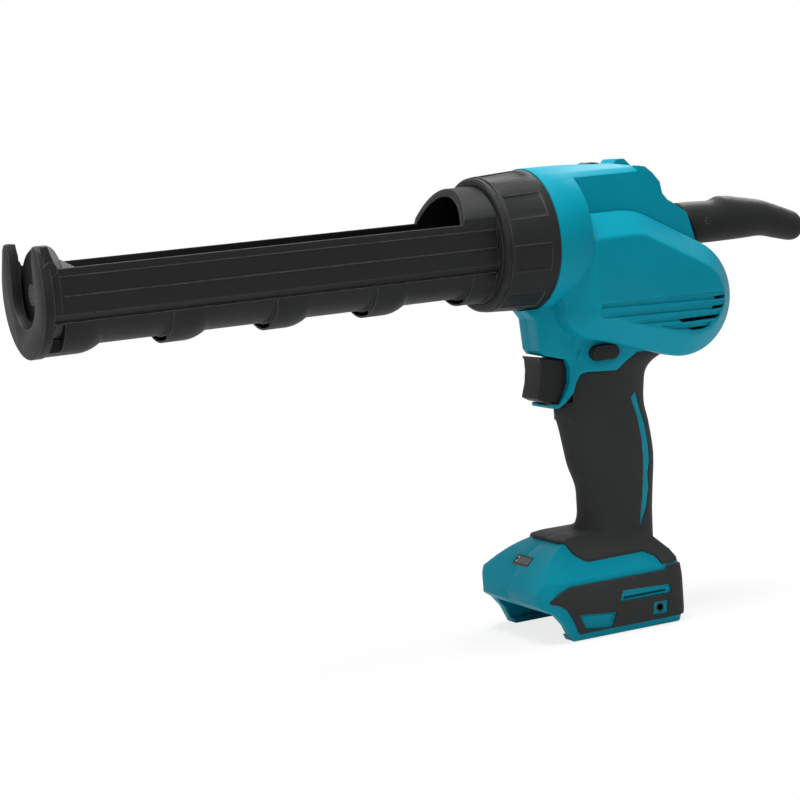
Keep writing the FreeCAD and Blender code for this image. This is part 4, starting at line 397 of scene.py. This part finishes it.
def moulded(name, colour, drift, rubbed_and_highlight, gloss, grain, depth, shine):
    """Plastic or rubber: an etched skin whose lighter edges are partly wear from handling and partly painted
    highlight.
    """
    material, tree, shader = shader_of(name)
    cover = place_group(tree, skin, Colour=linear(*colour), Drift_Colour=linear(*drift),
                        Grain_Scale=grain, Gloss_Low=gloss[0], Gloss_High=gloss[1])
    # The lighter edges are partly wear and partly painted highlight.
    worn_and_highlit = place_group(tree, edge_wear_and_highlight, Rubbed_Colour=linear(*rubbed_and_highlight))
    tree.links.new(cover.outputs["Colour"], worn_and_highlit.inputs["Colour"])
    tree.links.new(worn_and_highlit.outputs["Colour"], shader.inputs["Base Color"])
    tree.links.new(cover.outputs["Roughness"], shader.inputs["Roughness"])
    shader.inputs["Specular IOR Level"].default_value = shine
    raised(tree, cover.outputs["Height"], depth, GRAIN_STRENGTH, shader)
    return material


def worked(name, colour, dark, stretch, gloss):
    """Metal with the lines that drawing, turning or stamping leaves."""
    material, tree, shader = shader_of(name)
    cover = place_group(tree, metal, Colour=linear(*colour), Dark_Colour=linear(*dark),
                        Stretch=stretch, Gloss_Low=gloss[0], Gloss_High=gloss[1])
    tree.links.new(cover.outputs["Colour"], shader.inputs["Base Color"])
    tree.links.new(cover.outputs["Roughness"], shader.inputs["Roughness"])
    shader.inputs["Metallic"].default_value = 1.0
    raised(tree, cover.outputs["Height"], LINE_DEPTH, LINE_STRENGTH, shader)
    return material


# Each plastic: its name, its colour, the colour it drifts to and the colour of its rubbed edges, which
# is partly painted highlight, then the range of its roughness, the scale and the depth of its grain,
# and its shine.
PLASTICS = {
    "teal_plastic": ("teal_nylon", (0, 134, 155), (0, 127, 147), (10, 152, 172),
                     (0.4, 0.54), 2600, 0.00006, 0.08),
    "black_plastic": ("black_nylon", (36, 37, 37), (31, 32, 32), (124, 126, 126),
                      (0.4, 0.56), 2200, 0.00008, 0.1),
    # Painted shade: this grey, worn by the piston ring, is kept dark so that the ring seen in the slot reads
    # as the shaded trough behind it.
    "grey_plastic": ("shade_darkened_acetal", (76, 78, 78), (68, 70, 70), (104, 105, 105),
                     (0.45, 0.55), 2400, 0.00005, 0.1),
    "soft_rubber": ("grip_rubber", (48, 50, 49), (42, 44, 43), (64, 66, 65),
                    (0.62, 0.8), 1500, 0.00014, 0.12),
    "carbon": ("pressed_carbon", (40, 40, 42), (30, 30, 32), (60, 60, 62),
               (0.6, 0.8), 1800, 0.00008, 0.2),
    "board": ("coated_board", (28, 92, 50), (22, 78, 42), (40, 110, 64),
              (0.3, 0.45), 600, 0.00003, 0.5),
    "print": ("white_print", (214, 215, 215), (204, 205, 205), (190, 190, 190),
              (0.5, 0.6), 2000, 0.00002, 0.2),
    "lens": ("smoked_lens", (20, 21, 22), (16, 17, 18), (46, 47, 48),
             (0.1, 0.18), 900, 0.00001, 0.5),
}
# Each metal: its name, its colour, the colour of its lines, the way they run, and its roughness.
ALONG_X, ALONG_Y, EVEN = (0.03, 1, 1), (1, 0.03, 1), (1, 1, 1)
METALS = {
    "steel": ("turned_steel", (176, 177, 180), (140, 141, 145), ALONG_Y, (0.25, 0.42)),
    "rod_steel": ("drawn_steel", (120, 121, 124), (88, 89, 92), ALONG_X, (0.3, 0.5)),
    "bronze": ("sintered_bronze", (176, 138, 84), (142, 106, 60), EVEN, (0.4, 0.6)),
    "iron": ("stacked_iron", (110, 110, 113), (78, 78, 80), ALONG_Y, (0.45, 0.65)),
    "magnet": ("ground_magnet", (70, 70, 73), (52, 52, 54), EVEN, (0.4, 0.6)),
    "blackened": ("blackened_steel", (62, 62, 64), (40, 40, 42), ALONG_Y, (0.35, 0.5)),
}
finishes = {label: moulded(*values) for label, values in PLASTICS.items()}
finishes.update({label: worked(*values) for label, values in METALS.items()})
print("finishes:", sorted(finishes))

# %% [markdown]
# ## Finishes on the solids
# A solid whose shape is right only needs its finish. The table says which solids wear each one. The
# screws and inserts that show are blackened. The piston's screw and washer are blackened and its ring
# is a dark grey so that the slot behind the nozzle reads dark: painted shade.

# %% Dress the solids
WEARERS = {
    "teal_plastic": ["housing_left", "housing_right"],
    "black_plastic": ["cartridge_holder", "holder_collar", "rod_handle", "trigger", "lock_button",
                      "speed_dial", "switch_body", "terminal_block", "nose_sleeve", "motor_end_cap",
                      "cooling_fan", "piston", "rod_bush_front", "rod_bush_rear"],
    "grey_plastic": ["piston_ring"],
    "soft_rubber": ["grip_left", "grip_right", "foot_bumper_left", "foot_bumper_right"],
    "steel": ["piston_washer", "piston_screw", "handle_screws", "housing_screws", "gear_plate_left",
              "gear_plate_right", "motor_can", "motor_bearings", "motor_shaft", "motor_pinion",
              "first_gear", "first_pinion_shaft", "second_gear", "second_pinion_shaft", "final_gear",
              "rack_pinion_shaft", "clutch_dog"],
    "rod_steel": ["rack_rod"],
    "bronze": ["gear_bushes", "hook_inserts", "terminal_blades", "commutator"],
    "iron": ["armature"],
    "magnet": ["motor_magnets"],
    "carbon": ["motor_brushes"],
    "board": ["control_board"],
    "lens": ["indicator_window"],
}
# The piston's screw and washer are in this list as painted shade, so that the slot behind the nozzle reads
# dark.
BLACKENED_AND_SHADE_DARKENED = ["handle_screws", "housing_screws", "hook_inserts", "piston_screw", "piston_washer"]
slot_of = {name: slot_name for slot_name, names in WEARERS.items() for name in names}
for name, item in nodes.items():
    item.data.materials.clear()
    item.data.materials.append(finishes["blackened" if name in BLACKENED_AND_SHADE_DARKENED else slot_of[name]])
print("dressed:", len(slot_of), "of", len(nodes))

# %% [markdown]
# ## Rounded mouldings
# No moulding has a knife edge: the mould's own cutter leaves a small radius, and that radius catches
# the light as a thin bright line. The solids are exact and sharp, so a copy of each visible moulding
# is merged, its flat areas are joined into single faces, and its edges are bevelled.


# %% Round the edges of the visible mouldings
MERGE_DISTANCE = 0.000002
FLAT_ANGLE = math.radians(0.4)
SHARP_ANGLE = math.radians(28)
EDGE_STEPS = 2


def only(item):
    """Selects one object and makes it active."""
    bpy.ops.object.select_all(action="DESELECT")
    item.select_set(True)
    bpy.context.view_layer.objects.active = item


def add_modifier(item, kind, **settings):
    change = item.modifiers.new(kind.lower(), kind)
    for label, value in settings.items():
        setattr(change, label, value)
    only(item)
    bpy.ops.object.modifier_apply(modifier=change.name)


def rounded_copy(node, width):
    """A moulding with small radii on its edges, in place of its sharp solid."""
    copy = bpy.data.objects.new(f"{node}_moulding", nodes[node].data.copy())
    bpy.context.scene.collection.objects.link(copy)
    only(copy)
    bpy.ops.mesh.customdata_custom_splitnormals_clear()
    bpy.ops.object.mode_set(mode="EDIT")
    bpy.ops.mesh.select_all(action="SELECT")
    bpy.ops.mesh.remove_doubles(threshold=MERGE_DISTANCE)
    bpy.ops.mesh.dissolve_limited(angle_limit=FLAT_ANGLE)
    bpy.ops.object.mode_set(mode="OBJECT")
    add_modifier(copy, "BEVEL", width=width, segments=EDGE_STEPS, limit_method="ANGLE",
                 angle_limit=SHARP_ANGLE, use_clamp_overlap=True)
    only(copy)
    bpy.ops.object.shade_smooth_by_angle(angle=SHARP_ANGLE)
    copy.data.materials.clear()
    copy.data.materials.append(finishes[slot_of[node]])
    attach(copy, nodes[node]["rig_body"])
    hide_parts(node)
    return copy


EDGE_RADII = {
    "housing_left": 0.0005, "housing_right": 0.0005, "cartridge_holder": 0.0005,
    "holder_collar": 0.0003, "rod_handle": 0.0006, "trigger": 0.0004, "lock_button": 0.0008,
    "grip_left": 0.0004, "grip_right": 0.0004, "foot_bumper_left": 0.0003,
    "foot_bumper_right": 0.0003, "piston": 0.0004,
}
for name, radius in EDGE_RADII.items():
    piece = rounded_copy(name, radius)
    print(piece.name, len(piece.data.polygons))

# %% [markdown]
# ## Underside of the trigger guard
# The soft sleeve's lip would show below the guard, where the tool has only the guard's own edge. The
# faces that reach in front of the grip are selected by place, and a bisect clears them and closes the
# cut. The cut slants back on each side, as the grip's round front does.

# %% Trim the lip
LIP_FRONT, LIP_SLANT = 0.0443, 0.5
LIP_LOW, LIP_HIGH, LIP_SIDE = -0.112, -0.0935, 0.0098


def on_lip(corner):
    return LIP_LOW < corner.z < LIP_HIGH and abs(corner.y) < LIP_SIDE


for node, slant in (("grip_left", LIP_SLANT), ("grip_right", -LIP_SLANT)):
    sleeve = bpy.data.objects[f"{node}_moulding"]
    only(sleeve)
    bpy.ops.object.mode_set(mode="EDIT")
    bpy.ops.mesh.select_mode(type="FACE")
    bpy.ops.mesh.select_all(action="DESELECT")
    bpy.ops.object.mode_set(mode="OBJECT")
    for face in sleeve.data.polygons:
        corners = [sleeve.data.vertices[index].co for index in face.vertices]
        before = [corner.x + slant * corner.y < LIP_FRONT for corner in corners if on_lip(corner)]
        face.select = any(before)
    bpy.ops.object.mode_set(mode="EDIT")
    bpy.ops.mesh.bisect(plane_co=(LIP_FRONT, 0, 0), plane_no=(1, slant, 0),
                        clear_inner=True, use_fill=True)
    bpy.ops.mesh.select_mode(type="VERT")
    bpy.ops.object.mode_set(mode="OBJECT")
    print(sleeve.name, len(sleeve.data.polygons))

# %% [markdown]
# ## Small pieces on the surface
# Marks and trims sit on curved walls, so each is seated by a ray: it starts outside the tool, runs
# inwards, and gives the point and the slope of the wall that it hits. A piece is drawn flat round the
# origin first, and its mesh is then moved to that seat, so the object itself stays at the origin.


# %% Find seats and finish pieces
OUTSIDE = 0.1
TRIM_ANGLE = math.radians(40)
SMOOTH_ANGLE = math.radians(30)


def seat_on(node, start, aim):
    """The place and turn of a wall, as a matrix whose Z axis stands on the wall."""
    wall = bpy.data.objects.get(f"{node}_moulding") or nodes[node]
    bpy.context.view_layer.update()
    hit, place, normal, _ = wall.ray_cast(Vector(start), Vector(aim))
    if not hit:
        raise RuntimeError(f"no wall of {node} at {start}")
    across = Vector((0, 0, 1)).cross(normal).normalized()
    turn = Matrix((across, normal.cross(across), normal)).transposed()
    return Matrix.Translation(place) @ turn.to_4x4()


def seat_on_side(node, sign, along, height):
    """A seat on the left wall, with sign -1, or on the right wall, with sign 1."""
    return seat_on(node, (along, sign * OUTSIDE, height), (0, -sign, 0))


def settle(item, matrix, name, node, finish):
    """Moves the finished mesh to its seat, and gives it a name, a finish and a body."""
    item.data.transform(matrix)
    item.name = name
    only(item)
    bpy.ops.object.mode_set(mode="EDIT")
    bpy.ops.mesh.select_all(action="SELECT")
    bpy.ops.mesh.normals_make_consistent(inside=False)
    bpy.ops.object.mode_set(mode="OBJECT")
    bpy.ops.object.shade_smooth_by_angle(angle=SMOOTH_ANGLE)
    item.data.materials.clear()
    item.data.materials.append(finishes[finish])
    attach(item, nodes[node]["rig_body"])
    return item


def flat_shape(points):
    """A level face with the given corners, as an object at the origin."""
    bpy.ops.object.select_all(action="DESELECT")
    bpy.ops.mesh.primitive_circle_add(vertices=len(points), fill_type="NGON", radius=1)
    item = bpy.context.object
    for corner, (x, y) in zip(item.data.vertices, points):
        corner.co = (x, y, 0)
    return item


def thicken(item, height, rounding):
    """Draws the open faces up to a height and rounds the rim."""
    only(item)
    bpy.ops.object.mode_set(mode="EDIT")
    bpy.ops.mesh.select_all(action="SELECT")
    bpy.ops.mesh.extrude_region_move(TRANSFORM_OT_translate={"value": (0, 0, height)})
    bpy.ops.object.mode_set(mode="OBJECT")
    add_modifier(item, "BEVEL", width=rounding, segments=EDGE_STEPS, limit_method="ANGLE",
                 angle_limit=TRIM_ANGLE)


# %% [markdown]
# ## Flare of the soft grip
# Where the grip meets the foot, the rubber runs out in a soft hollow curve. A bevel can't cross the
# many small faces of that corner, so a strip is laid over it. It starts as a grid. Rays find the wall
# and the roof at each station round the grip, and a row of the grid bends from one to the other.


# %% Lay the flare
GRIP_MIDDLE = Vector((0.074, 0, -0.166))
WALL_RISE = 0.002
CORNER_STEP, CORNER_RISE, ROOF_RISE = 0.0015, 0.003, 0.005
FLARE_REACH, FLARE_LEAST, FLARE_SINK, FLARE_WALL = 0.01, 0.0025, 0.0003, 0.0012
FLARE_FADE = 4
REACH_FLOOR, REACH_SHRINK = 0.001, 0.8
FLARE_TURN = math.radians(118)
STATIONS, STEPS = 72, 9
UP = Vector((0, 0, 1))


def sleeve_at(start, aim):
    """Where a ray meets the soft sleeve, or nothing."""
    wall = bpy.data.objects["grip_left_moulding" if start.y < 0 else "grip_right_moulding"]
    hit, place, _, _ = wall.ray_cast(start, aim)
    return place if hit else None


def flare_row(outward, reach):
    """Points of a hollow curve from the grip's wall out to the foot's roof."""
    far = GRIP_MIDDLE + outward * OUTSIDE
    wall = sleeve_at(far + UP * WALL_RISE, -outward)
    corner = sleeve_at(wall + outward * CORNER_STEP + UP * CORNER_RISE, -UP) or wall
    foot = None
    while foot is None and reach > REACH_FLOOR:
        upper = sleeve_at(Vector((far.x, far.y, corner.z + reach)), -outward)
        foot = sleeve_at(wall + outward * reach + UP * ROOF_RISE, -UP)
        reach *= REACH_SHRINK
    upper -= outward * FLARE_SINK
    foot = (foot or corner) - UP * FLARE_SINK
    bend = Vector((wall.x, wall.y, corner.z))
    row = []
    for number in range(STEPS):
        step = number / (STEPS - 1)
        row.append(upper * (1 - step) ** 2 + bend * 2 * step * (1 - step) + foot * step ** 2)
    return row


bpy.ops.object.select_all(action="DESELECT")
bpy.ops.mesh.primitive_grid_add(x_subdivisions=STEPS - 1, y_subdivisions=STATIONS - 1, size=1)
flare = bpy.context.object
bpy.context.view_layer.update()
places = []
for station in range(STATIONS):
    share = (station + 0.5) / STATIONS
    turn = FLARE_TURN * (2 * share - 1)
    fade = min(1, FLARE_FADE * share, FLARE_FADE * (1 - share))
    reach = FLARE_LEAST + FLARE_REACH * math.sin(turn) ** 2 * fade
    places += flare_row(Vector((-math.cos(turn), math.sin(turn), 0)), reach)
for corner, place in zip(flare.data.vertices, places, strict=True):
    corner.co = place
only(flare)
bpy.ops.object.mode_set(mode="EDIT")
bpy.ops.mesh.select_all(action="SELECT")
bpy.ops.mesh.normals_make_consistent(inside=False)
bpy.ops.object.mode_set(mode="OBJECT")
if sum(face.normal.z for face in flare.data.polygons) < 0:
    flare.data.flip_normals()
add_modifier(flare, "SOLIDIFY", thickness=FLARE_WALL, offset=-1)
settle(flare, Matrix(), "grip_flare", "grip_left", "soft_rubber")
print("flare:", [round(side, 4) for side in flare.dimensions])

# %% [markdown]
# ## Numbers on the speed dial
# A text object starts level, facing up. Turned into a mesh, it can be seated on the dial's rim: the rim
# lies at the dial's radius from the axle, taken from the dial's box, and the number's top points towards the
# nozzle.

# %% Print the numbers
low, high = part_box("speed_dial")
axle = (Vector(low) + Vector(high)) / 2
NUMBER_HEIGHT, NUMBER_RELIEF, NUMBER_ROUND = 0.0042, 0.00012, 0.00004
NUMBERS, MIDDLE_NUMBER = 5, 3
MIDDLE_ANGLE, NUMBER_ANGLE = math.radians(-40), math.radians(30)
for number in range(1, NUMBERS + 1):
    angle = MIDDLE_ANGLE + NUMBER_ANGLE * (number - MIDDLE_NUMBER)
    outward = Vector((math.sin(angle), 0, math.cos(angle)))
    top = Vector((-math.cos(angle), 0, math.sin(angle)))
    bpy.ops.object.text_add()
    text = bpy.context.object
    text.data.body = str(number)
    text.data.size = NUMBER_HEIGHT
    text.data.align_x = "CENTER"
    text.data.align_y = "CENTER"
    text.data.extrude = NUMBER_RELIEF
    text.data.bevel_depth = NUMBER_ROUND
    bpy.ops.object.convert(target="MESH")
    rim = axle + outward * (high[2] - axle.z)
    turn = Matrix((Vector((0, 1, 0)), top, outward)).transposed().to_4x4()
    settle(bpy.context.object, Matrix.Translation(rim) @ turn, f"dial_number_{number}",
           "speed_dial", "print")
print("dial radius:", round(high[2] - axle.z, 4))

# %% [markdown]
# ## Lock marks
# Beside the cross button, a closed and an open padlock show which way it locks. Each is a rounded
# plate with a half ring: a torus primitive, cut in two by a bisect that clears one side.


# %% Raise the padlocks
LOCK_HALF, LOCK_LOW, LOCK_TOP = 0.002, -0.0026, 0.0004
LOCK_RELIEF, LOCK_ROUND = 0.00035, 0.0001
SHACKLE_RADIUS, SHACKLE_BAR, SHACKLE_RISE = 0.0014, 0.0003, 0.0002
LOCK_ALONG, LOCK_HEIGHT, LOCK_OPEN = 0.0535, -0.0655, 0.0024
LOCK_PLATE = [(-LOCK_HALF, LOCK_LOW), (LOCK_HALF, LOCK_LOW), (LOCK_HALF, LOCK_TOP), (-LOCK_HALF, LOCK_TOP)]


def padlock(shift):
    """A plate and a shackle, which is shifted along the plate where the lock is open."""
    body = flat_shape(LOCK_PLATE)
    thicken(body, LOCK_RELIEF, LOCK_ROUND)
    bpy.ops.mesh.primitive_torus_add(major_radius=SHACKLE_RADIUS, minor_radius=SHACKLE_BAR, major_segments=32,
                                     minor_segments=8, location=(shift, LOCK_TOP, SHACKLE_RISE))
    bpy.ops.object.transform_apply(location=True)
    bpy.ops.object.mode_set(mode="EDIT")
    bpy.ops.mesh.select_all(action="SELECT")
    bpy.ops.mesh.bisect(plane_co=(0, LOCK_TOP, 0), plane_no=(0, 1, 0), clear_inner=True, use_fill=True)
    bpy.ops.object.mode_set(mode="OBJECT")
    body.select_set(True)
    bpy.context.view_layer.objects.active = body
    bpy.ops.object.join()
    return body


LOCK_MARKS = {
    "lock_mark_closed": ("housing_left", -1, 0.0),
    "lock_mark_open": ("housing_right", 1, LOCK_OPEN),
}
for name, (node, sign, shift) in LOCK_MARKS.items():
    seat = seat_on_side(node, sign, LOCK_ALONG, LOCK_HEIGHT)
    settle(padlock(shift), seat, name, node, "teal_plastic")
print("lock marks:", sorted(LOCK_MARKS))

# %% [markdown]
# ## Badge plates
# The badge plates in the foot's sides stay bare. A narrow raised frame finishes each: the face is
# inset, its middle is deleted, and the frame that remains is drawn up and rounded.


# %% Frame the badge plates
def frame_of(points, width, height):
    item = flat_shape(points)
    only(item)
    bpy.ops.object.mode_set(mode="EDIT")
    bpy.ops.mesh.select_all(action="SELECT")
    bpy.ops.mesh.inset(thickness=width)
    bpy.ops.mesh.delete(type="FACE")
    bpy.ops.object.mode_set(mode="OBJECT")
    thicken(item, height, height / 3)
    return item


BADGE_SHARES = [(0.252, 0.742), (0.478, 0.781), (0.446, 0.908), (0.286, 0.878)]
MIDDLE_SHARES = (0.366, 0.827)
FOOT_FRONT, FOOT_LENGTH, FOOT_TOP, FOOT_HEIGHT = 0.0064, 0.0946, -0.168, 0.0515
BADGE_WIDTH, BADGE_RELIEF = 0.0007, 0.0004
BADGE_MIDDLE = Vector((FOOT_FRONT + MIDDLE_SHARES[0] * FOOT_LENGTH, 0,
                       FOOT_TOP - MIDDLE_SHARES[1] * FOOT_HEIGHT))
for side, sign in (("left", -1), ("right", 1)):
    node = f"housing_{side}"
    corners = []
    for along, down in BADGE_SHARES:
        x = FOOT_FRONT + along * FOOT_LENGTH - BADGE_MIDDLE.x
        corners.append((-sign * x, FOOT_TOP - down * FOOT_HEIGHT - BADGE_MIDDLE.z))
    seat = seat_on_side(node, sign, BADGE_MIDDLE.x, BADGE_MIDDLE.z)
    badge = frame_of(corners, BADGE_WIDTH, BADGE_RELIEF)
    settle(badge, seat, f"badge_frame_{side}", node, "teal_plastic")
print("badge plate at:", [round(part, 4) for part in BADGE_MIDDLE])

# %% [markdown]
# ## Charge window
# The window in the foot's nose has a raised rim and two small lamps behind the lens. The rim is the
# same kind of frame as the badge's, and a lamp is a disc, drawn up and rounded.

# %% Finish the charge window
low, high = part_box("indicator_window")
middle = (Vector(low) + Vector(high)) / 2
half_width, half_length = (high[1] - low[1]) / 2, 0.003
RAY_ASIDE, RAY_RISE = 0.001, 0.05
RIM_WIDTH, RIM_RELIEF = 0.0006, 0.0005
LAMP_RADIUS, LAMP_RELIEF, LAMP_ROUND = 0.0006, 0.00025, 0.00008
LAMP_ASIDE, LAMP_PLACES = -0.006, (-0.0012, 0.0012)
seat = seat_on("indicator_window", (middle.x, RAY_ASIDE, middle.z + RAY_RISE), (0, 0, -1))
seat.translation.y = 0
corners = [(-half_width, -half_length), (half_width, -half_length),
           (half_width, half_length), (-half_width, half_length)]
rim = frame_of(corners, RIM_WIDTH, RIM_RELIEF)
settle(rim, seat, "window_rim", "indicator_window", "black_plastic")
for number, along in enumerate(LAMP_PLACES, 1):
    bpy.ops.object.select_all(action="DESELECT")
    bpy.ops.mesh.primitive_circle_add(vertices=24, radius=LAMP_RADIUS, fill_type="NGON",
                                      location=(LAMP_ASIDE, along, 0))
    lamp = bpy.context.object
    bpy.ops.object.transform_apply(location=True)
    thicken(lamp, LAMP_RELIEF, LAMP_ROUND)
    settle(lamp, seat, f"charge_lamp_{number}", "indicator_window", "print")
print("window:", round(half_width * 2, 4), "wide")

# %% [markdown]
# ## Screw heads
# The housing's screws sit deep in their holes on the right side. A head is modelled once: a disc with
# a rounded rim and a six-sided socket, which is a hexagonal primitive taken away with a boolean. The
# other heads are copies with meshes of their own.


# %% Model one screw head and copy it
HEAD_RADIUS, HEAD_HEIGHT, HEAD_RISE = 0.0026, 0.0009, 0.0004
SOCKET_SHARE, SOCKET_RISE_SHARE = 0.55, 0.4
TO_THE_RIGHT = Matrix(((1, 0, 0), (0, 0, 1), (0, -1, 0))).to_4x4()
SCREW_PLACES = [(0.0537, 0.0237), (0.1004, 0.0217), (0.1394, -0.0398), (0.0445, -0.049), (0.094, -0.0653),
                (0.0164, -0.19), (0.093, -0.202)]


def screw_head(radius, height):
    bpy.ops.mesh.primitive_cylinder_add(vertices=40, radius=radius, depth=height)
    head = bpy.context.object
    add_modifier(head, "BEVEL", width=height / 3, segments=3, limit_method="ANGLE", angle_limit=TRIM_ANGLE)
    bpy.ops.mesh.primitive_cylinder_add(vertices=6, radius=radius * SOCKET_SHARE, depth=height,
                                        location=(0, 0, height * SOCKET_RISE_SHARE))
    socket = bpy.context.object
    add_modifier(head, "BOOLEAN", operation="DIFFERENCE", object=socket, solver="EXACT")
    bpy.data.objects.remove(socket)
    return head


low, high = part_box("housing_screws")
head = screw_head(HEAD_RADIUS, HEAD_HEIGHT)
plain_mesh = head.data.copy()
for number, (x, z) in enumerate(SCREW_PLACES, 1):
    if number > 1:
        head = bpy.data.objects.new("copy", plain_mesh.copy())
        bpy.context.scene.collection.objects.link(head)
    seat = Matrix.Translation((x, high[1] + HEAD_RISE, z)) @ TO_THE_RIGHT
    settle(head, seat, f"screw_head_{number}", "housing_screws", "blackened")
print("screw heads:", len(SCREW_PLACES))

# %% [markdown]
# ## Lines on the trough
# Both walls of the trough carry a fine moulded line along their middle. A cube primitive is stretched
# in edit mode, so the object keeps its scale of one, and its edges are rounded.

# %% Draw the trough lines
low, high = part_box("cartridge_holder")
LINE_MARGIN, LINE_REAR, LINE_HEIGHT = 0.012, -0.001, -0.0003
LINE_RELIEF, LINE_WIDTH, LINE_ROUND = 0.0006, 0.0007, 0.0002
LINE_PROBE = -0.12
LINE_FRONT = low[0] + LINE_MARGIN
for name, sign in (("trough_line_left", -1), ("trough_line_right", 1)):
    seat = seat_on_side("cartridge_holder", sign, LINE_PROBE, LINE_HEIGHT)
    bpy.ops.mesh.primitive_cube_add(size=1)
    line = bpy.context.object
    bpy.ops.object.mode_set(mode="EDIT")
    bpy.ops.mesh.select_all(action="SELECT")
    bpy.ops.transform.resize(value=(LINE_REAR - LINE_FRONT, LINE_RELIEF, LINE_WIDTH))
    bpy.ops.object.mode_set(mode="OBJECT")
    add_modifier(line, "BEVEL", width=LINE_ROUND, segments=EDGE_STEPS)
    middle = Matrix.Translation(((LINE_FRONT + LINE_REAR) / 2, seat.translation.y, LINE_HEIGHT))
    settle(line, middle, name, "cartridge_holder", "black_plastic")
print("trough lines from", round(LINE_FRONT, 4), "to", LINE_REAR)

# %% Print the sizes of the dressed tool
low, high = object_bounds()
print("visual box:", [round(side, 4) for side in high - low])
